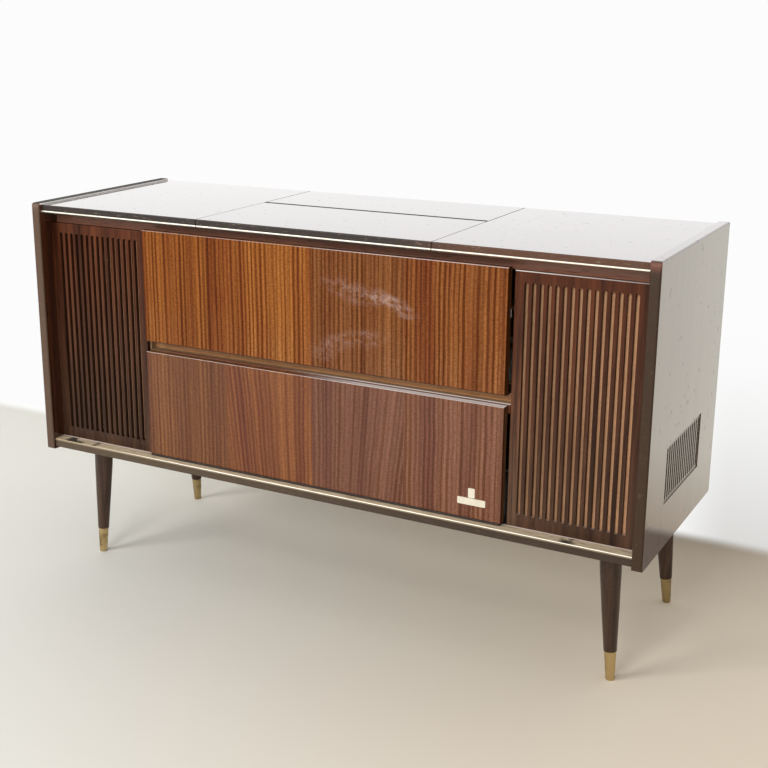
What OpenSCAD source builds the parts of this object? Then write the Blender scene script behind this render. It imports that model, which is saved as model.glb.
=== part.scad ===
// Radiogram cabinet of the 1960s: a long low sideboard on four splayed legs.
// X runs along the front, Y from the front to the back, Z up. The origin is on the
// floor, in the middle of the ground that the cabinet and its feet cover.

/* [Carcass] */
// Overall width
body_w = 1240; // [1120:1:1400]
// Depth of the side panels
body_d = 418; // [400:1:480]
// Height of the side panels
body_h = 504; // [494:1:544]
// Height of the underside above the floor
leg_h = 248; // [180:1:320]
// Thickness of the side panels
panel_t = 18; // [15:0.5:24]
// Thickness of the boards: top, bottom, shelf and partitions
board_t = 16; // [12:0.5:19]
// How far the side panels reach below the bottom board
panel_drop = 4; // [0:0.5:8]
// Radius of the side panels' corners
corner_r = 5; // [2:0.5:12]
// Radius of the side panels' upper front corners
nose_r = 9; // [4:0.5:14]
// Radius along the side panels' front and upper outer edges
panel_edge_r = 3; // [1:0.5:5]
// Thickness of the hardboard back
back_t = 4; // [3:0.5:6]
// How far the back panel stands in from the rear edges
back_rebate = 6; // [4:0.5:12]

/* [Top and lid] */
// How far the top lies below the side panels' upper edges
top_drop = 4; // [2:0.5:8]
// How far the top's front edge stands back from the side panels
top_setback = 9; // [5:0.5:14]
// Width of the lift-up lid
lid_w = 470; // [430:1:560]
// Depth of the lift-up lid
lid_d = 232; // [200:1:250]
// Open joint at each side of the lid
lid_gap = 1.5; // [1:0.1:3]
// Height of the brass line in the top's front edge
line_h = 3; // [2:0.5:4]
// How far the brass lines stand proud
line_proud = 1; // [0.5:0.1:2]
// Radius along the top's upper front edge
top_edge_r = 2; // [0.5:0.5:4]
// Height of the frieze rail under the top
frieze_h = 24; // [18:1:30]

/* [Ledge] */
// How far the ledge stands back from the side panels
ledge_setback = 7; // [4:0.5:12]
// Thickness of the brass strip on the ledge
strip_t = 2; // [1:0.1:3]
// Height of the strip's lip over the ledge's front
lip_h = 4; // [2:0.5:6]

/* [Flaps] */
// Width of both drop flaps
flap_w = 738; // [660:1:800]
// Thickness of the flaps
flap_t = 16; // [14:0.5:18]
// How far the flaps stand back from the side panels
flap_setback = 19; // [17:0.5:24]
// Height of the upper flap
upper_flap_h = 214; // [196:1:222]
// Height of the lower flap
lower_flap_h = 207; // [196:1:214]
// Finger recess between the flaps
recess_h = 20.6; // [19:0.1:24]
// Open joint between a flap and the partition beside it
flap_side_gap = 3; // [2:0.5:5]
// Radius along the front edges of the flaps and the grille boards
front_edge_r = 1.5; // [0.5:0.1:3]

/* [Speaker grilles] */
// Thickness of the slotted grille boards
grille_t = 8; // [6:0.5:14]
// How far the grille boards stand back from the side panels
grille_setback = 32; // [30:0.5:36]
// Height of the grille boards
grille_h = 441; // [420:1:445]
// Slots in each grille board
slot_count = 15; // [9:1:16]
// Distance from slot to slot
slot_pitch = 13; // [11:0.1:13.6]
// Width of a slot
slot_w = 7; // [4:0.1:8]
// Height of a slot
slot_h = 401; // [300:1:410]
// Radius of the bass speaker's frame
woofer_r = 95; // [80:1:100]
// Radius of the treble speaker's frame
tweeter_r = 48; // [35:1:60]

/* [Side vents] */
// Width of a vent
vent_w = 210; // [150:1:240]
// Height of a vent
vent_h = 100; // [60:1:120]
// Height of the vent's middle above the underside
vent_z = 127; // [90:1:200]
// Slots in each vent
vent_slots = 16; // [8:1:18]

/* [Legs] */
// Leg axis: distance from the middle at the top, along X
leg_top_x = 542; // [480:1:570]
// Foot: distance from the middle, along X
foot_x = 555.5; // [490:1:590]
// Front legs: distance of the top behind the front edge
front_leg_in = 85; // [60:1:120]
// Front feet: how far they stand in front of their tops
front_splay = 4.5; // [0:0.5:30]
// Back legs: distance of the top in front of the back edge
back_leg_in = 21; // [21:1:80]
// Back feet: how far they reach past the back edge
foot_overhang = 14; // [0:1:20]
// Radius of a leg at the top
leg_top_r = 20; // [15:0.5:24]
// Radius of a foot
foot_r = 7.8; // [6:0.1:9]
// Height of the brass ferrules
ferrule_h = 54; // [40:1:80]

/* [Hinges and stays] */
// Outer radius of the hinge barrels
barrel_r = 2.2; // [2:0.1:2.6]
// Radius of the hinge pins
pin_r = 1.1; // [0.9:0.05:1.15]
// Thickness of the hinge leaves
leaf_t = 0.9; // [0.7:0.05:1]
// Knuckles along each hinge
knuckles = 11; // [5:2:21]
// Distance of a flap stay's pin from the hinge line
stay_reach = 90; // [70:1:100]
// Radius of the lid's quadrant stay
quadrant_r = 84; // [60:1:86]
// How far the lid opens, in degrees
lid_angle = 80; // [60:1:80]

/* [Record changer] */
// Width of the changer's steel plate
deck_w = 340; // [320:1:400]
// Depth of the changer's steel plate
deck_d = 290; // [285:1:310]
// Radius of the platter
platter_r = 110; // [100:1:118]
// Height of the platter above the plate
platter_h = 16; // [12:0.5:18]
// Length of the pick-up arm from pivot to needle
arm_len = 205; // [195:1:212]
// Height of the spindle above the plate
spindle_h = 55; // [40:1:58]

/* [Radio] */
// Width of the radio's front
dial_w = 680; // [640:1:690]
// Width of the dial window
window_w = 340; // [260:1:360]
// Height of the dial window
window_h = 56; // [40:1:60]
// Width of a key
key_w = 26; // [18:1:28]
// Travel of the keys
key_travel = 4; // [2:0.5:4]
// Radius of the two large knobs
knob_r = 18; // [14:0.5:20]
// Radius of the small knob
tone_knob_r = 12; // [8:0.5:14]

/* [Record rack] */
// Dividers in the rack
divider_count = 6; // [3:1:7]
// Distance from divider to divider
divider_pitch = 50; // [30:1:52]
// Height of the dividers
divider_h = 140; // [80:1:160]
// Thickness of the dividers
divider_t = 4; // [3:0.5:6]

/* [Hidden] */
$fn = 48;

// Fits and clearances
running_fit = 0.08;   // radial clearance of a pin in its bore
seat_gap = 0.3;       // gap between pieces that move past each other
joint_play = 0.6;     // side clearance of a stay's slot on its stud
knuckle_gap = 0.4;    // end clearance between hinge knuckles
cut = 1;              // how far a cutter runs past a face

// Outer planes
front_y = -(body_d + foot_overhang) / 2;
back_y = front_y + body_d;
mid_y = (front_y + back_y) / 2;
inner_x = body_w / 2 - panel_t;
under_z = leg_h;
panel_z = under_z - panel_drop;      // lower edge of the side panels
floor_z = under_z + board_t;         // upper face of the bottom board
top_z = panel_z + body_h;
lid_z = top_z - top_drop;            // upper face of the top
top_under_z = lid_z - board_t;
back_face_y = back_y - back_rebate - back_t;   // where the boards meet the back panel

// Front planes
top_front_y = front_y + top_setback;
ledge_front_y = front_y + ledge_setback;
flap_front_y = front_y + flap_setback;
flap_back_y = flap_front_y + flap_t;
grille_front_y = front_y + grille_setback;
grille_back_y = grille_front_y + grille_t;
cloth_t = 0.6;
baffle_t = 12;
baffle_front_y = grille_back_y + cloth_t;
baffle_back_y = baffle_front_y + baffle_t;
ledge_top_z = floor_z + strip_t;

// Hinge axes, as [y, z]
rest_gap = 0.4;       // gap between the open lower flap and the ledge's strip
lower_axis = [flap_front_y + barrel_r - rest_gap, ledge_top_z + barrel_r];
lower_flap_z = ledge_top_z + 2 * barrel_r;
lower_flap_top = lower_flap_z + lower_flap_h;
upper_flap_z = lower_flap_top + recess_h;
upper_axis = [flap_back_y - barrel_r, upper_flap_z - barrel_r];
lid_back_y = top_front_y + lid_d;
lid_axis = [lid_back_y + barrel_r, lid_z - barrel_r];
strip_front_y = lid_back_y + 2 * barrel_r;      // front edge of the fixed rear strip
leaf_start = barrel_r + 0.5;
leaf_d = 12;

// Shelf, rails and partitions
shelf_top_z = lower_flap_top + 0.6;
shelf_front_y = flap_back_y + 3;
rail_front_y = flap_back_y + 18;
rail_t = board_t;
rail_top_z = upper_flap_z + 12;
frieze_front_y = flap_back_y + 16;
frieze_z = top_under_z - frieze_h;
grille_top_z = ledge_top_z + grille_h;
cloth_inset = 3;      // how far the cloth and its baffle stop below the grille's top
cloth_top_z = grille_top_z - cloth_inset;
part_x = flap_w / 2 + flap_side_gap;            // inner face of a partition
grille_in_x = part_x + flap_side_gap;           // inner edge of a grille board
grille_w = inner_x - grille_in_x;
grille_mid_x = (grille_in_x + inner_x) / 2;

// Stays: a slotted arm turns on the flap and slides on a stud in the partition.
// The stud lies on the circle that the arm's pin describes about the hinge, so
// the arm turns by exactly half the flap's angle and the stud stays in the slot.
stay_off = 8;         // distance of the arm's pin behind the flap
stay_t = 2;
stay_w = 10;
stay_pin_r = 2;
stay_x = part_x - 8;  // middle of the arm, from the cabinet's middle
stay_arc = 15;        // angle from the arm's pin to the stud, flap closed

// Changer
deck_t = 8;
deck_z = rail_top_z + 130;                      // upper face of the deck board
deck_mid = [5, mid_y + 10];
plate_h = 10;
plate_z = deck_z + plate_h;                     // upper face of the changer's plate
plate_t = 2;
deck_margin = 20;                               // deck board's seat under the plate
platter_c = [-30, mid_y];
turret_c = [135, mid_y + 100];
platter_z = plate_z + platter_h;
mat_t = 3;
mat_z = platter_z + mat_t;
arm_z = mat_z + 15;
spindle_r = 3.55;
motor_r = 28;
pulley_r = 5;
platter_rim_t = 3;
// The motor's pulley drives the inside of the platter's rim
motor_angle = -38;
motor_reach = platter_r - platter_rim_t - pulley_r - seat_gap;
motor_c = platter_c + motor_reach * [cos(motor_angle), sin(motor_angle)];

// Radio
radio_front_y = rail_front_y + rail_t + 1;
radio_front_t = 6;
radio_z = shelf_top_z;
radio_top = deck_z - deck_t;
window_z = radio_top - 18 - window_h;
glass_t = 2;
key_z = rail_top_z + 14;
key_h = 16;
key_pitch = key_w + 5;
key_gap = key_travel + 1;
key_cap = 11;
knob_z = window_z + 14;
knob_x = 265;
tone_x = 212;
tone_z = key_z + 20;
knob_d = 15;
shaft_r = 3.2;
pointer_rail_z = window_z + window_h + 9;
pointer_rail_y = radio_front_y + radio_front_t + 4;
chassis_y = radio_front_y + radio_front_t + 7;

// Legs
plate_steel_t = 3;
leg_top_z = under_z - plate_steel_t;
front_top_y = front_y + front_leg_in;
back_top_y = back_y - back_leg_in;
front_foot_y = front_top_y - front_splay;
back_foot_y = back_y + foot_overhang - foot_r;
glide_h = 3;
ferrule_wall = 0.8;

// Colours
mahogany = [0.20, 0.09, 0.06];
veneer = [0.46, 0.22, 0.11];
dark_wood = [0.13, 0.07, 0.05];
brass = [0.72, 0.58, 0.30];
steel = [0.62, 0.62, 0.60];
plywood = [0.62, 0.47, 0.30];
hardboard = [0.40, 0.28, 0.17];
cream = [0.86, 0.82, 0.70];

// ---------- shared shapes ----------

module slab(x0, x1, y0, y1, z0, z1) {
    translate([x0, y0, z0]) cube([x1 - x0, y1 - y0, z1 - z0]);
}

module both_sides() {
    children();
    mirror([1, 0, 0]) children();
}

module rounded_rect(w, h, r) {
    translate([r, 0]) square([w - 2 * r, h]);
    translate([0, r]) square([w, h - 2 * r]);
    for (x = [r, w - r], y = [r, h - r]) translate([x, y]) circle(r);
}

// Rectangle with a radius of its own at each corner, from the lower left one round
module soft_rect(w, h, radii) {
    corners = [[0, 0], [w, 0], [w, h], [0, h]];
    difference() {
        square([w, h]);
        for (i = [0:3]) if (radii[i] > 0)
            translate(corners[i]) rotate(90 * i) corner_cutter(radii[i]);
    }
}

// What a rounded corner takes off, for a corner at the origin
module corner_cutter(r) {
    difference() {
        translate([-cut, -cut]) square(r + cut);
        translate([r, r]) circle(r);
    }
}

// Board along X with radii along its lower front, lower back, upper back and
// upper front edges
module edged_board(x0, x1, y0, y1, z0, z1, radii) {
    translate([x0, y0, z0]) rotate([90, 0, 90]) linear_extrude(x1 - x0)
        soft_rect(y1 - y0, z1 - z0, radii);
}

// Board that faces the front, with all four front edges rounded
module faced_board(x0, x1, y0, y1, z0, z1, r) {
    intersection() {
        edged_board(x0, x1, y0, y1, z0, z1, [r, 0, 0, r]);
        translate([x0, y0, z0]) linear_extrude(z1 - z0)
            soft_rect(x1 - x0, y1 - y0, [r, r, 0, 0]);
    }
}

// Slot with round ends, along Y, centred
module slot2d(w, h) {
    square([w, h - w], center = true);
    for (s = [-1, 1]) translate([0, s * (h - w) / 2]) circle(d = w, $fn = 24);
}

// Row of upright slots, cut through a board that faces Y
module slot_row(count, pitch, w, h, y0, y1) {
    for (i = [0:count - 1])
        translate([(i - (count - 1) / 2) * pitch, y1, 0]) rotate([90, 0, 0])
            linear_extrude(y1 - y0) slot2d(w, h);
}

// Cylinder along X
module x_rod(x0, x1, r) {
    translate([x0, 0, 0]) rotate([0, 90, 0]) cylinder(r = r, h = x1 - x0);
}

// Cylinder along Y
module y_rod(y0, y1, r) {
    translate([0, y1, 0]) rotate([90, 0, 0]) cylinder(r = r, h = y1 - y0);
}

// Profile given as [radius, distance], turned about an axis along +Y
module turned_y(points) {
    rotate([-90, 0, 0]) rotate_extrude() polygon(points);
}

// Board of the top; its front edge is rounded and has a groove for the brass line
under_edge_r = 1;
module top_board(x0, x1, y0, y1) {
    at_front = y0 == top_front_y;
    difference() {
        edged_board(x0, x1, y0, y1, top_under_z, lid_z,
            at_front ? [under_edge_r, 0, 0, top_edge_r] : [0, 0, 0, 0]);
        if (at_front) slab(x0 - cut, x1 + cut, y0 - cut, y0 + line_in, line_z, line_z + line_h);
    }
}

line_in = 2;          // how far the brass line is let into the edge
line_z = top_under_z + 2;
bead_r = 1.4;         // rounding of the line's front
module line_strip(x0, x1) {
    edged_board(x0, x1, top_front_y - line_proud, top_front_y + line_in, line_z,
        line_z + line_h, [bead_r, 0, 0, bead_r]);
}

// One half of a long hinge about X. The leaf lies on the barrel's side `side`
// (along Z) and runs out in the direction `out` (along Y).
module hinge_half(len, moving, side, out, depth) {
    pitch = len / knuckles;
    first = moving ? 1 : 0;
    difference() {
        union() {
            for (i = [first:2:knuckles - 1]) translate([-len / 2 + i * pitch, 0, 0]) {
                x_rod(knuckle_gap / 2, pitch - knuckle_gap / 2, barrel_r);
                hinge_leaf(knuckle_gap / 2, pitch - knuckle_gap / 2, side, out, 0, leaf_start);
            }
            hinge_leaf(-len / 2, len / 2, side, out, leaf_start, depth);
            if (!moving) x_rod(-len / 2, len / 2, pin_r);
        }
        if (moving) x_rod(-len / 2 - cut, len / 2 + cut, pin_r + running_fit);
    }
}

module hinge_leaf(x0, x1, side, out, y0, y1) {
    z0 = side > 0 ? barrel_r - leaf_t : -barrel_r;
    slab(x0, x1, out > 0 ? y0 : -y1, out > 0 ? y1 : -y0, z0, z0 + leaf_t);
}

module at_axis(axis) {
    translate([0, axis[0], axis[1]]) children();
}

// ---------- carcass ----------

// The panel's side view, plan and front view each carry their own rounded edges
module side_panel() {
    difference() {
        intersection() {
            edged_board(inner_x, body_w / 2, front_y, back_y, panel_z, top_z,
                [corner_r, corner_r, corner_r, nose_r]);
            translate([inner_x, front_y, panel_z]) linear_extrude(body_h)
                soft_rect(panel_t, body_d, [panel_edge_r, panel_edge_r, 0, 0]);
            translate([inner_x, back_y, panel_z]) rotate([90, 0, 0]) linear_extrude(body_d)
                soft_rect(panel_t, body_h, [0, 0, panel_edge_r, 0]);
        }
        slab(inner_x - cut, body_w / 2 + cut, mid_y - vent_w / 2, mid_y + vent_w / 2,
            under_z + vent_z - vent_h / 2, under_z + vent_z + vent_h / 2);
    }
}

module left_side_panel() {
    color(mahogany) mirror([1, 0, 0]) side_panel();
}

module right_side_panel() {
    color(mahogany) side_panel();
}

module bottom_board() {
    color(dark_wood) edged_board(-inner_x, inner_x, ledge_front_y, back_y, under_z, floor_z,
        [top_edge_r, 0, 0, 0]);
}

module partition() {
    difference() {
        slab(part_x, part_x + board_t, baffle_front_y, back_face_y, floor_z, top_under_z);
        slab(part_x - cut, part_x + board_t + cut, baffle_front_y - cut,
            frieze_front_y + board_t, frieze_z, top_under_z + cut);
    }
}

module partitions() {
    color(plywood) both_sides() partition();
}

module middle_shelf() {
    color(plywood) edged_board(-part_x, part_x, shelf_front_y, back_face_y,
        shelf_top_z - board_t, shelf_top_z, [0, 0, 0, top_edge_r]);
}

module cross_rail() {
    color(mahogany) slab(-part_x, part_x, rail_front_y, rail_front_y + rail_t,
        shelf_top_z, rail_top_z);
}

module frieze_rail() {
    color(dark_wood) slab(-inner_x, inner_x, frieze_front_y, frieze_front_y + board_t,
        frieze_z, top_under_z);
}

module right_top() {
    color(mahogany) top_board(lid_w / 2 + lid_gap, inner_x, top_front_y, back_y);
}

module left_top() {
    color(mahogany) mirror([1, 0, 0]) top_board(lid_w / 2 + lid_gap, inner_x, top_front_y, back_y);
}

module rear_top_strip() {
    color(mahogany) top_board(-lid_w / 2 - lid_gap, lid_w / 2 + lid_gap, strip_front_y, back_y);
}

// Section of the ledge's brass strip: flat on the board, with a lip over its front
module ledge_section() {
    lip_r = 1.2;
    difference() {
        union() {
            square([line_proud, lip_h]);
            translate([0, lip_h - strip_t])
                square([grille_front_y + 2 - ledge_front_y + line_proud, strip_t]);
        }
        translate([0, lip_h]) rotate(-90) corner_cutter(lip_r);
    }
}

module brass_trims() {
    color(brass) {
        both_sides() line_strip(lid_w / 2 + lid_gap, inner_x);
        translate([-inner_x, ledge_front_y - line_proud, ledge_top_z - lip_h])
            rotate([90, 0, 90]) linear_extrude(2 * inner_x) ledge_section();
    }
}

module back_panel() {
    vent_rows = [[0, shelf_top_z + 85, 23], [0, floor_z + 110, 23]];
    color(hardboard) difference() {
        slab(-inner_x, inner_x, back_face_y, back_face_y + back_t, floor_z, top_under_z);
        for (row = vent_rows) translate([row[0], 0, row[1]])
            slot_row(row[2], 24, 8, 70, back_face_y - cut, back_face_y + back_t + cut);
        both_sides() for (z = [under_z + 150, under_z + 380])
            translate([grille_mid_x, 0, z])
                slot_row(7, 20, 8, 60, back_face_y - cut, back_face_y + back_t + cut);
        translate([grommet_x, 0, grommet_z])
            y_rod(back_face_y - cut, back_face_y + back_t + cut, grommet_r);
    }
}

grommet_x = -300;
grommet_z = floor_z + 30;
grommet_r = 9;
module cord_grommet() {
    rim = 3;
    color([0.05, 0.05, 0.05]) translate([grommet_x, back_face_y, grommet_z]) difference() {
        union() {
            y_rod(0, back_t, grommet_r);
            y_rod(back_t, back_t + 2, grommet_r + rim);
        }
        y_rod(-cut, back_t + 2 + cut, grommet_r - rim);
    }
}

// ---------- lid ----------

module lid() {
    color(mahogany) top_board(-lid_w / 2, lid_w / 2, top_front_y, lid_back_y);
}

module lid_brass_line() {
    color(brass) line_strip(-lid_w / 2, lid_w / 2);
}

module lid_hinge_leaf() {
    color(steel) at_axis(lid_axis) rotate([-90, 0, 0])
        hinge_half(lid_w - 2, true, -1, 1, leaf_d);
}

// Quadrant stay: an arc with a slot, screwed under the lid, that slides on a stud
// under the right top. The slot is as long as the lid's travel.
quadrant_w = 12;
quadrant_t = 2.5;
quadrant_x = lid_w / 2 - 12;
stud_angle = 200;     // place of the stud on the arc's circle, from the hinge axis
lid_under = barrel_r - board_t;      // underside of the lid, from the hinge axis

// Sector of a ring between two angles under 180 degrees apart
module ring_sector(r, w, a0, a1) {
    far = 2 * r;
    intersection() {
        difference() {
            circle(r + w / 2, $fn = 96);
            circle(r - w / 2, $fn = 96);
        }
        polygon([[0, 0], far * [cos(a0), sin(a0)], far * [cos((a0 + a1) / 2), sin((a0 + a1) / 2)],
            far * [cos(a1), sin(a1)]]);
    }
}

module lid_stay() {
    slot = 2 * (stay_pin_r + joint_play);
    meets_lid = 180 + asin((-lid_under + 1) / quadrant_r);
    color(steel) at_axis(lid_axis) {
        translate([quadrant_x - quadrant_t / 2, 0, 0]) rotate([90, 0, 90])
            linear_extrude(quadrant_t) difference() {
                ring_sector(quadrant_r, quadrant_w, meets_lid, stud_angle + lid_angle + 6);
                ring_sector(quadrant_r, slot, stud_angle, stud_angle + lid_angle);
                for (a = [0, lid_angle]) rotate(stud_angle + a) translate([quadrant_r, 0])
                    circle(slot / 2);
            }
        slab(quadrant_x - 10, quadrant_x + 5, -quadrant_r - 10, -quadrant_r + 14,
            lid_under - 2, lid_under);
    }
}

module quadrant_stud() {
    bracket_x = lid_w / 2 + lid_gap + 2;
    stud_y = quadrant_r * cos(stud_angle);
    stud_z = quadrant_r * sin(stud_angle);
    at_axis(lid_axis) {
        translate([0, stud_y, stud_z]) {
            x_rod(quadrant_x - 4, bracket_x + 1, stay_pin_r);
            x_rod(quadrant_x - 5, quadrant_x - 3, stay_pin_r + 2.5);
            x_rod(quadrant_x + 2, quadrant_x + 4, stay_pin_r + 2.5);
        }
        slab(bracket_x, bracket_x + 2, stud_y - 8, stud_y + 8, stud_z - 7, lid_under);
        slab(bracket_x, bracket_x + 20, stud_y - 8, stud_y + 8, lid_under - 2, lid_under);
    }
}

// The fixed halves of the three long hinges, with their pins
module hinge_fixed_leaves() {
    color(steel) {
        at_axis(lid_axis) rotate([-90, 0, 0]) hinge_half(lid_w - 2, false, 1, 1, leaf_d);
        at_axis(upper_axis) {
            hinge_half(flap_w - 4, false, -1, 1, rail_front_y - upper_axis[0]);
            slab(-flap_w / 2 + 2, flap_w / 2 - 2, rail_front_y - upper_axis[0] - leaf_t,
                rail_front_y - upper_axis[0], -barrel_r, rail_top_z - upper_axis[1] - 2);
        }
        at_axis(lower_axis) hinge_half(flap_w - 4, false, -1, 1, leaf_d);
    }
}

// ---------- flaps and stays ----------

module flap(z0, height) {
    faced_board(-flap_w / 2, flap_w / 2, flap_front_y, flap_back_y, z0, z0 + height,
        front_edge_r);
}

// Pin of a stay's arm, flap closed, as [y, z] from the hinge axis
function stay_pin(axis) = [flap_back_y + stay_off - axis[0], stay_reach];
function pin_angle(axis) = atan2(stay_pin(axis)[1], stay_pin(axis)[0]);
function pin_radius(axis) = norm(stay_pin(axis));
function stud(axis) = pin_radius(axis)
    * [cos(pin_angle(axis) - stay_arc), sin(pin_angle(axis) - stay_arc)];
function stay_span(axis) = 2 * pin_radius(axis) * sin((90 + stay_arc) / 2);

// Eye plate on the flap's back, with the pin that the arm turns on
module stay_bracket(axis) {
    at_axis(axis) translate([0, stay_pin(axis)[0], stay_pin(axis)[1]]) {
        slab(stay_x - 7, stay_x - 5, -stay_off, 4, -6, 6);
        x_rod(stay_x - 6, stay_x + 3, stay_pin_r);
        slab(stay_x - 14, stay_x - 5, -stay_off, -stay_off + 2, -10, 10);
    }
}

module stay_arm(axis) {
    direction = pin_angle(axis) - stay_arc / 2 - 90;
    start = 2 * pin_radius(axis) * sin(stay_arc / 2);
    at_axis(axis) translate([stay_x - stay_t / 2, stay_pin(axis)[0], stay_pin(axis)[1]])
        rotate([direction, 0, 0]) rotate([90, 0, 90]) difference() {
            linear_extrude(stay_t) difference() {
                union() {
                    translate([0, -stay_w / 2]) square([stay_span(axis), stay_w]);
                    circle(stay_w / 2);
                    translate([stay_span(axis), 0]) circle(stay_w / 2);
                }
                translate([start, -stay_pin_r - joint_play])
                    square([stay_span(axis) - start, 2 * (stay_pin_r + joint_play)]);
                for (s = [start, stay_span(axis)]) translate([s, 0])
                    circle(stay_pin_r + joint_play);
            }
            translate([0, 0, -cut]) cylinder(r = stay_pin_r + running_fit, h = stay_t + 2 * cut);
        }
}

module stay_stud(axis) {
    at_axis(axis) translate([0, stud(axis)[0], stud(axis)[1]]) {
        x_rod(stay_x - 4, part_x, stay_pin_r);
        x_rod(stay_x - 4, stay_x - 2, stay_pin_r + 2.5);
        x_rod(part_x - 1.5, part_x, stay_pin_r + 4);
    }
}

module stay_studs() {
    color(steel) {
        both_sides() {
            stay_stud(upper_axis);
            stay_stud(lower_axis);
        }
        quadrant_stud();
    }
}

module upper_flap() {
    color(veneer) flap(upper_flap_z, upper_flap_h);
}

module lower_flap() {
    color(veneer) flap(lower_flap_z, lower_flap_h);
}

module upper_hinge_leaf() {
    color(steel) at_axis(upper_axis) hinge_half(flap_w - 4, true, 1, -1, leaf_d);
}

module lower_hinge_leaf() {
    color(steel) at_axis(lower_axis) hinge_half(flap_w - 4, true, 1, 1, leaf_d);
}

module upper_stay_brackets() {
    color(steel) both_sides() stay_bracket(upper_axis);
}

module lower_stay_brackets() {
    color(steel) both_sides() stay_bracket(lower_axis);
}

module upper_stay_arms() {
    color(steel) both_sides() stay_arm(upper_axis);
}

module lower_stay_arms() {
    color(steel) both_sides() stay_arm(lower_axis);
}

// Catches under the frieze rail and under the shelf hold the flaps shut
module flap_catches() {
    catch_w = 40;
    catch_h = 12;
    color([0.85, 0.83, 0.78]) both_sides() for (z = [frieze_z, shelf_top_z - board_t])
        slab(flap_w / 2 - 90, flap_w / 2 - 90 + catch_w, flap_back_y + seat_gap,
            frieze_front_y + 10, z - catch_h, z);
}

// ---------- speakers ----------

slots_to_flap = 2.5;  // how far the slots' middle stands nearer to the flaps
slots_up = 1.5;       // and above the board's middle
module grille() {
    difference() {
        faced_board(grille_in_x, inner_x, grille_front_y, grille_back_y, ledge_top_z,
            grille_top_z, front_edge_r);
        translate([grille_mid_x - slots_to_flap, 0, ledge_top_z + grille_h / 2 + slots_up])
            slot_row(slot_count, slot_pitch, slot_w, slot_h,
                grille_front_y - cut, grille_back_y + cut);
    }
}

module left_grille() {
    color(mahogany) mirror([1, 0, 0]) grille();
}

module right_grille() {
    color(mahogany) grille();
}

module grille_cloths() {
    color([0.70, 0.55, 0.38]) both_sides()
        slab(grille_in_x, inner_x, grille_back_y, baffle_front_y, ledge_top_z, cloth_top_z);
}

woofer_z = floor_z + 140;
tweeter_z = floor_z + 340;
woofer_x = (part_x + board_t + inner_x) / 2;
speakers = [[woofer_z, woofer_r, 78], [tweeter_z, tweeter_r, 34]];

module speaker_baffles() {
    color(plywood) both_sides() difference() {
        slab(part_x + board_t, inner_x, baffle_front_y, baffle_back_y, floor_z, cloth_top_z);
        for (s = speakers) translate([woofer_x, 0, s[0]])
            y_rod(baffle_front_y - cut, baffle_back_y + cut, s[1] - 8);
    }
}

// Pressed frame with flange, four windows and magnet pot
module speaker_basket(r, depth) {
    pot_r = r * 0.42;
    difference() {
        turned_y([[r - 9, 0], [r, 0], [r, 2], [r - 6, 2], [pot_r + 4, depth * 0.6],
            [pot_r + 4, depth * 0.6 + 1], [pot_r, depth * 0.6 + 1], [pot_r, depth],
            [0, depth], [0, depth * 0.72], [pot_r, depth * 0.6 - 1], [r - 9, 2]]);
        for (a = [45:90:315]) rotate([0, a, 0])
            slab(pot_r + 6, r - 10, 5, depth * 0.55, -r * 0.22, r * 0.22);
    }
}

module speaker_baskets() {
    color(steel) both_sides() for (s = speakers)
        translate([woofer_x, baffle_back_y, s[0]]) speaker_basket(s[1], s[2]);
}

// Paper cone with its roll surround and dust cap
module speaker_cone(r, depth) {
    cap_r = r * 0.26;
    edge_r = r - 9.5;
    apex = depth * 0.5;
    turned_y([[edge_r, 0], [edge_r, 1], [edge_r - 8, 1.2], [cap_r, apex + 1], [0, apex + 1],
        [0, apex - cap_r * 0.45], [cap_r * 0.6, apex - cap_r * 0.35], [cap_r, apex - 0.5],
        [edge_r - 8, 0]]);
}

module speaker_cones() {
    color([0.12, 0.11, 0.10]) both_sides() for (s = speakers)
        translate([woofer_x, baffle_back_y, s[0]]) speaker_cone(s[1], s[2]);
}

vent_t = 8;
vent_recess = 1.5;
module side_vent_grilles() {
    vent_pitch = vent_w / (vent_slots + 0.6);
    color(dark_wood) both_sides() translate([body_w / 2 - vent_recess - vent_t, 0, 0])
        difference() {
            slab(0, vent_t, mid_y - vent_w / 2, mid_y + vent_w / 2,
                under_z + vent_z - vent_h / 2, under_z + vent_z + vent_h / 2);
            translate([0, mid_y, under_z + vent_z]) rotate([0, 0, 90])
                slot_row(vent_slots, vent_pitch, vent_pitch * 0.55, vent_h - 10,
                    -vent_t - cut, cut);
        }
}

// ---------- legs ----------

module on_leg(top, foot) {
    d = top - foot;
    translate(foot) rotate([0, acos(d[2] / norm(d)), atan2(d[1], d[0])]) children();
}

function leg_top(front) = [leg_top_x, front ? front_top_y : back_top_y, leg_top_z];
function leg_foot(front) = [foot_x, front ? front_foot_y : back_foot_y, 0];
ferrule_top_r = foot_r + 2.8;
neck_r = ferrule_top_r + ferrule_wall;

module leg(front) {
    long = norm(leg_top(front) - leg_foot(front));
    difference() {
        on_leg(leg_top(front), leg_foot(front)) rotate_extrude() polygon([
            [0, glide_h + 2], [foot_r - ferrule_wall, glide_h + 2],
            [ferrule_top_r - ferrule_wall, ferrule_h], [neck_r, ferrule_h],
            [neck_r + (leg_top_r - neck_r) * 0.45, ferrule_h + (long - ferrule_h) * 0.4],
            [neck_r + (leg_top_r - neck_r) * 0.78, ferrule_h + (long - ferrule_h) * 0.74],
            [leg_top_r, long + leg_top_r], [0, long + leg_top_r]]);
        translate([0, 0, leg_top_z]) slab(0, body_w, front_y - 50, back_y + 50, 0, 100);
    }
}

module legs() {
    color(dark_wood) both_sides() {
        leg(true);
        leg(false);
    }
}

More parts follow.
